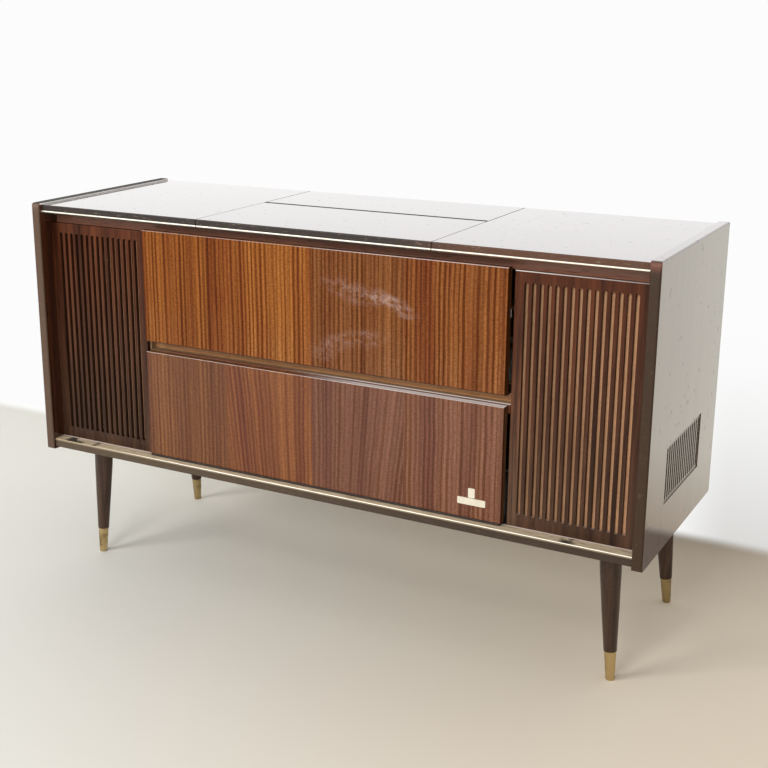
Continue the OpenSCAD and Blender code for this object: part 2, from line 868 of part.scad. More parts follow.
module ferrule(front) {
    difference() {
        on_leg(leg_top(front), leg_foot(front)) rotate_extrude() polygon([
            [0, 0], [foot_r, 0], [ferrule_top_r, ferrule_h],
            [ferrule_top_r - ferrule_wall, ferrule_h], [foot_r - ferrule_wall, glide_h + 2],
            [0, glide_h + 2]]);
        slab(0, body_w, front_y - 50, back_y + 50, -20, glide_h - 1);
    }
    translate(leg_foot(front)) cylinder(r = foot_r - ferrule_wall, h = glide_h - 1);
}

module leg_ferrules() {
    color(brass) both_sides() {
        ferrule(true);
        ferrule(false);
    }
}

module leg_plates() {
    plate_w = 3 * leg_top_r;
    plate_d = 2 * leg_top_r;
    color(steel) both_sides() for (front = [true, false])
        translate([leg_top(front)[0] - plate_w / 2, leg_top(front)[1] - plate_d / 2, leg_top_z])
            linear_extrude(plate_steel_t) rounded_rect(plate_w, plate_d, 6);
}

// ---------- record changer ----------

module deck_board() {
    color(plywood) difference() {
        slab(-part_x, part_x, radio_front_y, back_face_y, deck_z - deck_t, deck_z);
        slab(deck_mid[0] - deck_w / 2 + deck_margin, deck_mid[0] + deck_w / 2 - deck_margin,
            deck_mid[1] - deck_d / 2 + deck_margin, deck_mid[1] + deck_d / 2 - deck_margin,
            deck_z - deck_t - cut, deck_z + cut);
    }
}

module deck_outline(inset) {
    translate([deck_mid[0] - deck_w / 2 + inset, deck_mid[1] - deck_d / 2 + inset])
        rounded_rect(deck_w - 2 * inset, deck_d - 2 * inset, 14 - inset);
}

// Pressed plate with turned-down rim, platter well and arm rest
module changer_plate() {
    rest_y = turret_c[1] - arm_len * 0.72;
    color(cream) difference() {
        union() {
            difference() {
                translate([0, 0, deck_z]) linear_extrude(plate_h) deck_outline(0);
                translate([0, 0, deck_z - cut]) linear_extrude(plate_h - plate_t + cut)
                    deck_outline(plate_t);
            }
            translate([turret_c[0], rest_y, plate_z - plate_t])
                cylinder(r = 5, h = arm_z - arm_r - plate_z + plate_t - seat_gap);
            translate([turret_c[0] + 4.6, rest_y - 4, plate_z]) cube([2.4, 8, arm_z - plate_z]);
            for (c = [platter_c, turret_c]) translate([c[0], c[1], deck_z - 4])
                cylinder(r = 12, h = plate_h + 4);
        }
        translate([platter_c[0], platter_c[1], deck_z - 5])
            cylinder(r = spindle_r, h = 30);
        translate([turret_c[0], turret_c[1], deck_z - 5])
            cylinder(r = stem_r + running_fit, h = 30);
        translate([motor_c[0], motor_c[1], plate_z - plate_t - cut]) cylinder(r = 7, h = 5);
        translate([lever_c[0], lever_c[1], plate_z - plate_t - cut])
            cylinder(r = lever_pin_r + running_fit, h = 5);
        translate([platter_c[0], platter_c[1], plate_z - 0.8])
            difference() {
                cylinder(r = platter_r + 3, h = 2, $fn = 96);
                translate([0, 0, -1]) cylinder(r = 14, h = 4);
            }
    }
}

arm_r = 3.5;
stem_r = 5;

module platter() {
    rim_t = platter_rim_t;
    top_t = 3;
    low = plate_z + seat_gap;
    color(steel) translate([platter_c[0], platter_c[1], 0]) difference() {
        rotate_extrude($fn = 96) polygon([[spindle_r + running_fit, low], [11, low],
            [11, platter_z - top_t], [platter_r - rim_t, platter_z - top_t],
            [platter_r - rim_t, low + 3], [platter_r, low + 3], [platter_r, platter_z - 1.5],
            [platter_r - 1.5, platter_z], [spindle_r + running_fit, platter_z]]);
        for (a = [0:60:300]) rotate(a) translate([platter_r * 0.58, 0, platter_z - top_t - cut])
            cylinder(r = 14, h = top_t - 1 + cut);
    }
}

module platter_mat() {
    rings = [0.32, 0.5, 0.66, 0.8, 0.93];
    color([0.06, 0.06, 0.06]) translate([platter_c[0], platter_c[1], platter_z]) difference() {
        cylinder(r = platter_r - 4, h = mat_t, $fn = 96);
        translate([0, 0, -cut]) cylinder(r = spindle_r + 1, h = mat_t + 2 * cut);
        for (f = rings) translate([0, 0, mat_t - 0.8]) difference() {
            cylinder(r = (platter_r - 4) * f + 1.5, h = 2, $fn = 96);
            translate([0, 0, -1]) cylinder(r = (platter_r - 4) * f - 1.5, h = 4, $fn = 96);
        }
    }
}

module spindle() {
    color(steel) translate([platter_c[0], platter_c[1], deck_z - 5]) rotate_extrude()
        polygon([[0, 0], [spindle_r, 0], [spindle_r, 5 + plate_h + spindle_h - 8],
            [2.4, 5 + plate_h + spindle_h - 2], [1, 5 + plate_h + spindle_h],
            [0, 5 + plate_h + spindle_h]]);
}

ear_in = 6;           // inner half width of the turret's fork
ear_t = 2.5;
module arm_turret() {
    color(cream) translate([turret_c[0], turret_c[1], 0]) difference() {
        union() {
            translate([0, 0, deck_z - 6]) cylinder(r = stem_r, h = plate_h + 8);
            translate([0, 0, plate_z + seat_gap]) cylinder(r1 = 16, r2 = 13, h = 10);
            for (s = [-1, 1]) translate([s * (ear_in + ear_t / 2), 0, plate_z + 10])
                rotate([0, 90, 0]) rotate(90) translate([0, 0, -ear_t / 2])
                    linear_extrude(ear_t) {
                        translate([-6, -1]) square([12, arm_z - plate_z - 10 + 1]);
                        translate([0, arm_z - plate_z - 10]) circle(6);
                    }
        }
        translate([0, 0, arm_z]) x_rod(-20, 20, pin_r + 0.4 + running_fit);
    }
}

module pickup_arm() {
    weight_r = 10;
    color(cream) translate([turret_c[0], turret_c[1], arm_z]) {
        y_rod(-arm_len + 8, 20, arm_r);
        x_rod(-ear_in - ear_t, ear_in + ear_t, pin_r + 0.4);
        y_rod(-7, 7, ear_in - 0.6);
        y_rod(17, 38, weight_r);
    }
}

module pickup_head() {
    head_w = 15;
    head_l = 34;
    needle = arm_z - mat_z - 1.5;
    color([0.10, 0.10, 0.10]) translate([turret_c[0], turret_c[1], arm_z]) difference() {
        union() {
            translate([0, -arm_len + 8, 0]) rotate([90, 0, -90])
                translate([0, 0, -head_w / 2]) linear_extrude(head_w)
                    polygon([[0, -6], [0, 5], [8, 6], [22, 5], [head_l - 8, -2],
                        [head_l - 8, -8], [10, -9]]);
            translate([0, -arm_len, -needle]) cylinder(r1 = 0.4, r2 = 1.6, h = needle - 6);
        }
        y_rod(-arm_len + 8, 30, arm_r);
    }
}

lever_c = [100, mid_y - 122];
lever_pin_r = 2.5;
module speed_lever() {
    color([0.10, 0.10, 0.10]) translate([lever_c[0], lever_c[1], plate_z + seat_gap]) {
        cylinder(r = 9, h = 3);
        translate([0, 0, -plate_t - 2]) cylinder(r = lever_pin_r, h = 6);
        translate([-2.5, 0, 0]) cube([5, 16, 3]);
        translate([0, 16, 0]) cylinder(r = 4, h = 8);
    }
}

module changer_motor() {
    motor_h = 40;
    hang = 12;
    color(steel) translate([motor_c[0], motor_c[1], 0]) {
        translate([0, 0, plate_z - plate_t - hang - motor_h])
            rotate_extrude() polygon([[0, 0], [motor_r - 5, 0], [motor_r, 5],
                [motor_r, motor_h - 3], [motor_r - 3, motor_h], [0, motor_h]]);
        for (a = [90:120:330]) rotate(a) translate([motor_r - 7, 0, plate_z - plate_t - hang])
            cylinder(r = 3, h = hang);
        translate([0, 0, plate_z - plate_t - hang]) cylinder(r = 1.8, h = hang + plate_t + 5);
        translate([0, 0, plate_z + 4]) cylinder(r = pulley_r, h = 6);
    }
}

// ---------- radio ----------

keys = ["power", "phono", "am", "fm"];
function key_x(i) = (i - (len(keys) - 1) / 2) * key_pitch;
knob_places = [[-knob_x, knob_z], [-tone_x, tone_z], [knob_x, knob_z]];

module radio_front() {
    color([0.80, 0.74, 0.60]) difference() {
        slab(-dial_w / 2, dial_w / 2, radio_front_y, radio_front_y + radio_front_t,
            radio_z, radio_top);
        slab(-window_w / 2, window_w / 2, radio_front_y - cut, radio_front_y + radio_front_t + cut,
            window_z, window_z + window_h);
        for (i = [0:len(keys) - 1])
            slab(key_x(i) - key_w / 2 + 3 - key_fit, key_x(i) + key_w / 2 - 3 + key_fit,
                radio_front_y - cut, radio_front_y + radio_front_t + cut,
                key_z + 4 - key_fit, key_z + key_h - 4 + key_fit);
        for (k = knob_places) translate([k[0], 0, k[1]])
            y_rod(radio_front_y - cut, radio_front_y + radio_front_t + cut,
                shaft_r + running_fit);
    }
}

key_fit = 0.2;
module dial_glass() {
    lap = 6;
    color([0.30, 0.32, 0.30, 0.5]) slab(-window_w / 2 - lap, window_w / 2 + lap,
        radio_front_y - glass_t, radio_front_y, window_z - lap, window_z + window_h + lap);
}

pointer_travel = window_w / 2 - 20;
module dial_pointer() {
    needle_w = 1.6;
    color([0.75, 0.10, 0.06]) {
        slab(-needle_w / 2, needle_w / 2, radio_front_y + radio_front_t + 0.5,
            radio_front_y + radio_front_t + 1.5, window_z + 3, pointer_rail_z);
        translate([0, pointer_rail_y, pointer_rail_z]) difference() {
            slab(-7, 7, -3.5, 2.5, -3.5, 3.5);
            x_rod(-8, 8, rail_r + running_fit);
        }
    }
}

rail_r = 1.5;
// Folded steel chassis, open below, with the transformer, the tuning capacitor,
// coil cans, the apron behind the dial and the pointer's rail
module radio_chassis() {
    case_w = 560;
    case_h = 48;
    sheet = 1.5;
    deep = 150;
    top = radio_z + case_h;
    apron_side = 20;
    apron_w = window_w + 2 * apron_side;
    post_x = window_w / 2 + 12;
    color(steel) {
        difference() {
            slab(-case_w / 2, case_w / 2, chassis_y, chassis_y + deep, radio_z, top);
            slab(-case_w / 2 + sheet, case_w / 2 - sheet, chassis_y + sheet,
                chassis_y + deep - sheet, radio_z - cut, top - sheet);
        }
        slab(-apron_w / 2, apron_w / 2, chassis_y, chassis_y + sheet, radio_z + 5,
            pointer_rail_z + 4);
        for (s = [-1, 1]) slab(s * post_x - 3, s * post_x + 3, pointer_rail_y - 3,
            chassis_y + sheet / 2, pointer_rail_z - 4, pointer_rail_z + 4);
        translate([0, pointer_rail_y, pointer_rail_z]) x_rod(-post_x, post_x, rail_r);
        translate([-212, chassis_y + 65, top]) transformer();
        translate([170, chassis_y + 41, top]) tuning_capacitor();
        for (x = [-120, -70, -20]) translate([x, chassis_y + 110, top - sheet / 2])
            cylinder(r = 11, h = 36);
    }
}

// Stack of plates with the winding's cover standing out at both sides
module transformer() {
    slab(-37, 37, -24, 24, -0.5, 60);
    slab(-24, 24, -36, 36, 11, 49);
}

// Frame with the moving plates between its two ends
module tuning_capacitor() {
    plates = 9;
    slab(-30, 30, -20, 20, -0.5, 3);
    for (x = [-30, 27]) slab(x, x + 3, -20, 20, 2, 36);
    x_rod_at = 22;
    translate([0, 0, x_rod_at]) x_rod(-28, 28, 3);
    for (i = [0:plates - 1]) translate([-22 + i * 5.5, 0, x_rod_at]) x_rod(-0.6, 0.6, 14);
}

// Knob turned about Y: skirt, fluted grip and shaft
module knob(place, r) {
    base_y = radio_front_y - 1;
    translate([place[0], 0, place[1]]) difference() {
        union() {
            translate([0, base_y - knob_d, 0]) turned_y([[0, 0], [r - 4, 0], [r - 3, 1],
                [r - 2, knob_d - 4], [r, knob_d - 3.5], [r, knob_d], [0, knob_d]]);
            y_rod(base_y - 1, radio_front_y + radio_front_t + 0.5, shaft_r);
        }
        for (a = [0:30:330]) rotate([0, a, 0]) translate([r - 1.6, 0, 0])
            y_rod(base_y - knob_d - cut, base_y - 5, 1.2);
    }
}

module volume_knob() {
    color(cream) knob(knob_places[0], knob_r);
}

module tone_knob() {
    color(cream) knob(knob_places[1], tone_knob_r);
}

module tuning_knob() {
    color(cream) knob(knob_places[2], knob_r);
}

// Piano key: a cap with a finger hollow, on a stem through the radio's front
module key(i) {
    cap_back = radio_front_y - key_gap;
    color(cream) translate([key_x(i), 0, key_z]) {
        difference() {
            slab(-key_w / 2, key_w / 2, cap_back - key_cap, cap_back, 0, key_h);
            translate([0, cap_back - key_cap - 22, key_h / 2]) x_rod(-key_w, key_w, 24);
        }
        slab(-key_w / 2 + 3, key_w / 2 - 3, cap_back - 1,
            radio_front_y + radio_front_t + 1.5, 4, key_h - 4);
    }
}

module power_key() {
    key(0);
}

module phono_key() {
    key(1);
}

module am_key() {
    key(2);
}

module fm_key() {
    key(3);
}

// ---------- record rack ----------

// Plywood dividers with a sloping front edge, let into a base board
module record_rack() {
    base_t = 6;
    deep = 270;
    base_w = (divider_count - 1) * divider_pitch + 30;
    x0 = -part_x + 14;
    y0 = mid_y - 135;
    color(plywood) {
        slab(x0, x0 + base_w, y0, y0 + deep, floor_z, floor_z + base_t);
        for (i = [0:divider_count - 1])
            translate([x0 + 15 - divider_t / 2 + i * divider_pitch, y0, floor_z + base_t - 1])
                rotate([90, 0, 90]) linear_extrude(divider_t) divider_outline(deep);
    }
}

// Outline of one divider, as [distance from its front, height]
module divider_outline(deep) {
    slope = 90;
    tip_r = 12;
    difference() {
        square([deep, divider_h]);
        translate([0, divider_h * 0.45]) polygon([[-1, 0], [0, 0], [slope, divider_h * 0.55],
            [slope, divider_h], [-1, divider_h]]);
        translate([deep - tip_r, divider_h - tip_r]) difference() {
            square(tip_r + 1);
            circle(tip_r);
        }
    }
}

left_side_panel();
right_side_panel();
bottom_board();
partitions();
middle_shelf();
cross_rail();
frieze_rail();
left_top();
right_top();
rear_top_strip();
brass_trims();
hinge_fixed_leaves();
lid();
lid_brass_line();
lid_hinge_leaf();
lid_stay();
upper_flap();
upper_hinge_leaf();
upper_stay_brackets();
upper_stay_arms();
lower_flap();
lower_hinge_leaf();
lower_stay_brackets();
lower_stay_arms();
stay_studs();
flap_catches();
left_grille();
right_grille();
grille_cloths();
speaker_baffles();
speaker_baskets();
speaker_cones();
side_vent_grilles();
back_panel();
cord_grommet();
legs();
leg_ferrules();
leg_plates();
deck_board();
changer_plate();
platter();
platter_mat();
spindle();
arm_turret();
pickup_arm();
pickup_head();
speed_lever();
changer_motor();
radio_chassis();
radio_front();
dial_glass();
dial_pointer();
volume_knob();
tone_knob();
tuning_knob();
power_key();
phono_key();
am_key();
fm_key();
record_rack();
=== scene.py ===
"""Finish and small parts of a long low radiogram cabinet of the 1960s.

Laid out as a Blender add-on: the property groups hold the colours and sizes, each operator
finishes one group of pieces, and the panel in the 3D view's sidebar lists the operators.
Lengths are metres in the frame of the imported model: +X right along the front, +Y back, +Z up.
"""

import math

import bmesh
import bpy
from mathutils import Matrix, Vector


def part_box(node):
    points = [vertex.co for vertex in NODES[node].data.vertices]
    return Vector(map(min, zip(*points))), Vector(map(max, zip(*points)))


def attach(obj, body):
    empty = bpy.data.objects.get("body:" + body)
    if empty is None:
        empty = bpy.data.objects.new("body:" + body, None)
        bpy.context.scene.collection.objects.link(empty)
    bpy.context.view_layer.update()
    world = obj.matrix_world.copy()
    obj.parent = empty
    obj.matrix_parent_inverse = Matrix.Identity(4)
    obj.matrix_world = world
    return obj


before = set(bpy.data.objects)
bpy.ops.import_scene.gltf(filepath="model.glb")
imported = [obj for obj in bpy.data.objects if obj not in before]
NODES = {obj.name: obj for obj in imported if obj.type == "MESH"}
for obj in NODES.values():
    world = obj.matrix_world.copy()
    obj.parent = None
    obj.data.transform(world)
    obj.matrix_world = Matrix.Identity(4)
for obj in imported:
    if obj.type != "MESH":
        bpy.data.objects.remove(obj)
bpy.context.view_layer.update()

bl_info = {
    "name": "Radiogram cabinet",
    "version": (1, 0, 0),
    "blender": (4, 5, 0),
    "location": "3D View > Sidebar > Radiogram",
    "description": "Finishes a radiogram cabinet and sets it in a studio",
    "category": "Object",
}

MM = 0.001
CLEAR = (1.0, 1.0, 1.0)


# ---------------------------------------------------------------- sizes and colours

def colour(name, description, default):
    """A colour that the user can set."""
    return bpy.props.FloatVectorProperty(
        name=name, description=description, subtype="COLOR", size=3, min=0.0, max=1.0,
        default=default)


def length(name, description, default):
    """A length that the user can set, in metres."""
    return bpy.props.FloatProperty(
        name=name, description=description, default=default, min=0.0, unit="LENGTH", precision=4)


def rotation(name, description, default):
    """An angle that the user can set, in radians."""
    return bpy.props.FloatProperty(
        name=name, description=description, default=default, unit="ROTATION")


def number(name, description, default, low, high):
    """A plain number that the user can set."""
    return bpy.props.FloatProperty(name=name, description=description, default=default,
                                   min=low, max=high)


class CabinetFinish(bpy.types.PropertyGroup):
    """Colours of the woods, metals, plastics and cloth."""

    stripe_light: colour("Light stripe", "Light ribbon of the flaps' veneer", (0.350, 0.124, 0.023))
    stripe_dark: colour("Dark stripe", "Dark ribbon of the flaps' veneer", (0.150, 0.034, 0.001))
    mahogany_light: colour("Mahogany, light", "Light figure of the carcass wood",
                           (0.125, 0.040, 0.018))
    mahogany_dark: colour("Mahogany, dark", "Dark figure of the carcass wood",
                          (0.040, 0.012, 0.006))
    ebonised: colour("Dark stain", "Stain of the legs and the base board",
                     (0.030, 0.014, 0.010))
    plywood: colour("Plywood", "Bare plywood inside", (0.50, 0.34, 0.18))
    hardboard: colour("Hardboard", "Brown hardboard of the back", (0.22, 0.125, 0.06))
    brass: colour("Brass", "Aged brass lines and ferrules", (0.56, 0.42, 0.21))
    tarnish: colour("Tarnish", "Dark places in the brass", (0.26, 0.17, 0.075))
    cloth_light: colour("Cloth, light thread", "Light thread of the speaker cloth",
                        (0.88, 0.53, 0.28))
    cloth_dark: colour("Cloth, dark thread", "Dark thread of the speaker cloth",
                       (0.60, 0.30, 0.13))
    steel: colour("Steel", "Plated steel of hinges, stays and chassis", (0.55, 0.54, 0.52))
    ivory: colour("Ivory", "Ivory plastic of knobs and keys", (0.78, 0.71, 0.55))
    enamel: colour("Enamel", "Cream enamel of the changer's plate", (0.76, 0.70, 0.56))
    gilt: colour("Gilt", "Gilt paint of the radio's front", (0.60, 0.47, 0.24))


class CabinetSizes(bpy.types.PropertyGroup):
    """Sizes of the small parts that are added to the cabinet."""

    plate_width: length("Plate width", "Width of the blank plate on the lower flap", 0.052)
    plate_height: length("Plate height", "Height of the blank plate", 0.0125)
    tab_width: length("Tab width", "Width of the small blank plate over it", 0.0125)
    tab_height: length("Tab height", "Height of the small blank plate", 0.0175)
    plate_from_right: length("Plate from right", "From the flap's right edge to the plate", 0.028)
    plate_from_bottom: length("Plate from bottom", "From the flap's lower edge to the plate",
                              0.024)
    screw_radius: length("Screw head radius", "Radius of the countersunk screw heads", 0.0032)
    stripe_pitch: length("Stripe pitch", "Distance from ribbon to ribbon in the veneer", 0.0088)
    weave_pitch: length("Weave pitch", "Distance between two threads of the cloth", 0.0011)


class StudioSettings(bpy.types.PropertyGroup):
    """Camera, lamps and floor."""

    camera_place: bpy.props.FloatVectorProperty(
        name="Camera place", description="Place of the camera's lens", subtype="XYZ",
        unit="LENGTH", size=3, default=(1.1407, -2.1096, 1.1253))
    camera_yaw: rotation("Yaw", "Turn of the camera to the left of +Y", 0.52064)
    camera_pitch: rotation("Pitch", "Tilt of the camera, up is positive", -0.27713)
    camera_roll: rotation("Roll", "Roll of the camera", -0.00367)
    camera_lens: bpy.props.FloatProperty(
        name="Focal length", description="Focal length on a 36 mm sensor", unit="CAMERA",
        default=60.93)
    shift_x: number("Shift X", "Sideways shift of the lens", 0.0665, -1.0, 1.0)
    shift_y: number("Shift Y", "Upward shift of the lens", -0.0191, -1.0, 1.0)
    wall_behind: length("Wall", "Distance of the backdrop behind the origin", 0.53)
    floor_colour: colour("Floor", "Colour of the floor", (0.745, 0.685, 0.595))
    wall_colour: colour("Backdrop", "Colour of the backdrop", (0.93, 0.93, 0.92))
    world_light: number("World", "Strength of the light from all round", 0.55, 0.0, 2.0)


def finish_of():
    """The colours that are set."""
    return bpy.context.scene.cabinet_finish


def sizes_of():
    """The sizes that are set."""
    return bpy.context.scene.cabinet_sizes


# ---------------------------------------------------------------- node helpers

def scaled(shade, factor):
    """A colour times a number, or times another colour channel by channel."""
    factors = factor if hasattr(factor, "__len__") else (factor,) * 3
    return tuple(channel * share for channel, share in zip(shade, factors))


class Paint:
    """A node material with a principled shader, built by short calls."""

    def __init__(self, name, **sockets):
        self.material = bpy.data.materials.new(name)
        self.material.use_nodes = True
        self.tree = self.material.node_tree
        self.shader = self.tree.nodes["Principled BSDF"]
        self.place = self.tree.nodes.new("ShaderNodeTexCoord").outputs["Object"]
        for socket, value in sockets.items():
            self.set(socket, value)

    def set(self, socket, value):
        """Sets or links one of the shader's sockets, named with underscores."""
        self.join(value, self.shader.inputs[socket.replace("_", " ")])

    def join(self, value, socket):
        """Links a socket to another, or writes a plain value into it."""
        if isinstance(value, bpy.types.NodeSocket):
            self.tree.links.new(value, socket)
        elif hasattr(value, "__len__") and socket.type == "RGBA":
            socket.default_value = (value[0], value[1], value[2], 1.0)
        else:
            socket.default_value = value

    def node(self, kind, *values):
        """A new node with its first inputs set or linked in order."""
        node = self.tree.nodes.new("ShaderNode" + kind)
        for value, socket in zip(values, node.inputs):
            self.join(value, socket)
        return node

    # Coordinates and noise

    def split(self):
        """The X, Y and Z of the piece's own space, in metres."""
        return tuple(self.node("SeparateXYZ", self.place).outputs)

    def noise(self, vector, detail, rough, warp=0.0):
        """Smooth noise from 0 to 1."""
        node = self.node("TexNoise", vector)
        node.inputs["Scale"].default_value = 1.0
        node.inputs["Detail"].default_value = detail
        node.inputs["Roughness"].default_value = rough
        node.inputs["Distortion"].default_value = warp
        return node.outputs[0]

    def clouds(self, scale, detail=4.0, rough=0.55, warp=0.0):
        """Noise in the piece's own space. The scale is one number, or one for each axis."""
        node = self.node("Mapping", self.place)
        node.inputs["Scale"].default_value = scaled(CLEAR, scale)
        return self.noise(node.outputs["Vector"], detail, rough, warp)

    def streaks(self, across, along, fine, coarse, detail, rough=0.55, layer=0.0):
        """Noise over two given coordinates, each with its own scale. Another layer gives
        another pattern."""
        place = self.node("CombineXYZ", self.times(across, fine), layer,
                          self.times(along, coarse))
        return self.noise(place.outputs[0], detail, rough)

    # Arithmetic

    def math(self, way, first, second=0.0, third=0.0):
        """Arithmetic on numbers."""
        node = self.node("Math", first, second, third)
        node.operation = way
        return node.outputs[0]

    def times(self, first, *others):
        """Product of numbers."""
        for other in others:
            first = self.math("MULTIPLY", first, other)
        return first

    def line(self, value, slope, start):
        """Value times slope, plus start."""
        return self.math("MULTIPLY_ADD", value, slope, start)

    def larger(self, first, second):
        """The larger of two numbers."""
        return self.math("MAXIMUM", first, second)

    def between(self, value, low, high):
        """0 below low, 1 above high, smooth in between."""
        node = self.node("MapRange", value, low, high)
        node.interpolation_type = "SMOOTHSTEP"
        return node.outputs["Result"]

    def below(self, value, low, high):
        """1 below low, 0 above high, smooth in between."""
        return self.math("SUBTRACT", 1.0, self.between(value, low, high))

    def inside(self, value, low, high, soft):
        """1 from low to high and 0 outside, with both edges blurred by soft to each side."""
        return self.times(self.between(value, low - soft, low + soft),
                          self.below(value, high - soft, high + soft))

    # Colours

    def ramp(self, factor, *stops):
        """Colour ramp with stops of (place, colour or grey)."""
        node = self.node("ValToRGB", factor)
        points = node.color_ramp.elements
        while len(points) < len(stops):
            points.new(0.5)
        for point, (where, value) in zip(points, stops):
            point.position = where
            point.color = (*scaled(CLEAR, value), 1.0)
        return node.outputs["Color"]

    def mix(self, factor, first, second, way="MIX"):
        """Mixes two colours."""
        node = self.node("Mix", factor)
        node.data_type = "RGBA"
        node.blend_type = way
        self.join(first, node.inputs[6])
        self.join(second, node.inputs[7])
        return node.outputs[2]

    def tinted(self, share, body, tint):
        """A body colour with a share of it multiplied by a tint."""
        return self.mix(share, body, self.mix(1.0, body, tint, "MULTIPLY"))

    def shaded(self, share, body, mask, start, end, shade, clear=CLEAR):
        """A body colour darkened by its share of a shade where the mask is low."""
        return self.mix(share, body, self.ramp(mask, (start, shade), (end, clear)), "MULTIPLY")

    def relief(self, height, depth, strength):
        """Bump of a given depth in metres."""
        node = self.node("Bump", strength, depth)
        self.join(height, node.inputs["Height"])
        self.set("Normal", node.outputs["Normal"])


def dress(material, *names):
    """Gives CAD nodes a material."""
    for name in names:
        slots = NODES[name].data.materials
        slots.clear()
        slots.append(material)


def add_piece(mesh, body, material, smooth=False):
    """Puts a new mesh into the scene, on a body. The piece gets the mesh's name."""
    piece = bpy.data.objects.new(mesh.name, mesh)
    bpy.context.scene.collection.objects.link(piece)
    mesh.materials.append(material)
    if smooth:
        mesh.shade_smooth()
    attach(piece, body)
    return piece


# ---------------------------------------------------------------- woods

# Scale of the grain's noise along X, Y and Z, for grain that runs along X or along Z
GRAIN_X = (2.2, 60.0, 60.0)
GRAIN_Z = (60.0, 60.0, 2.2)
PORE_DEPTH = 0.04 * MM
# How far the edge of a painted mark is blurred to each side
BLUR = 0.2 * MM


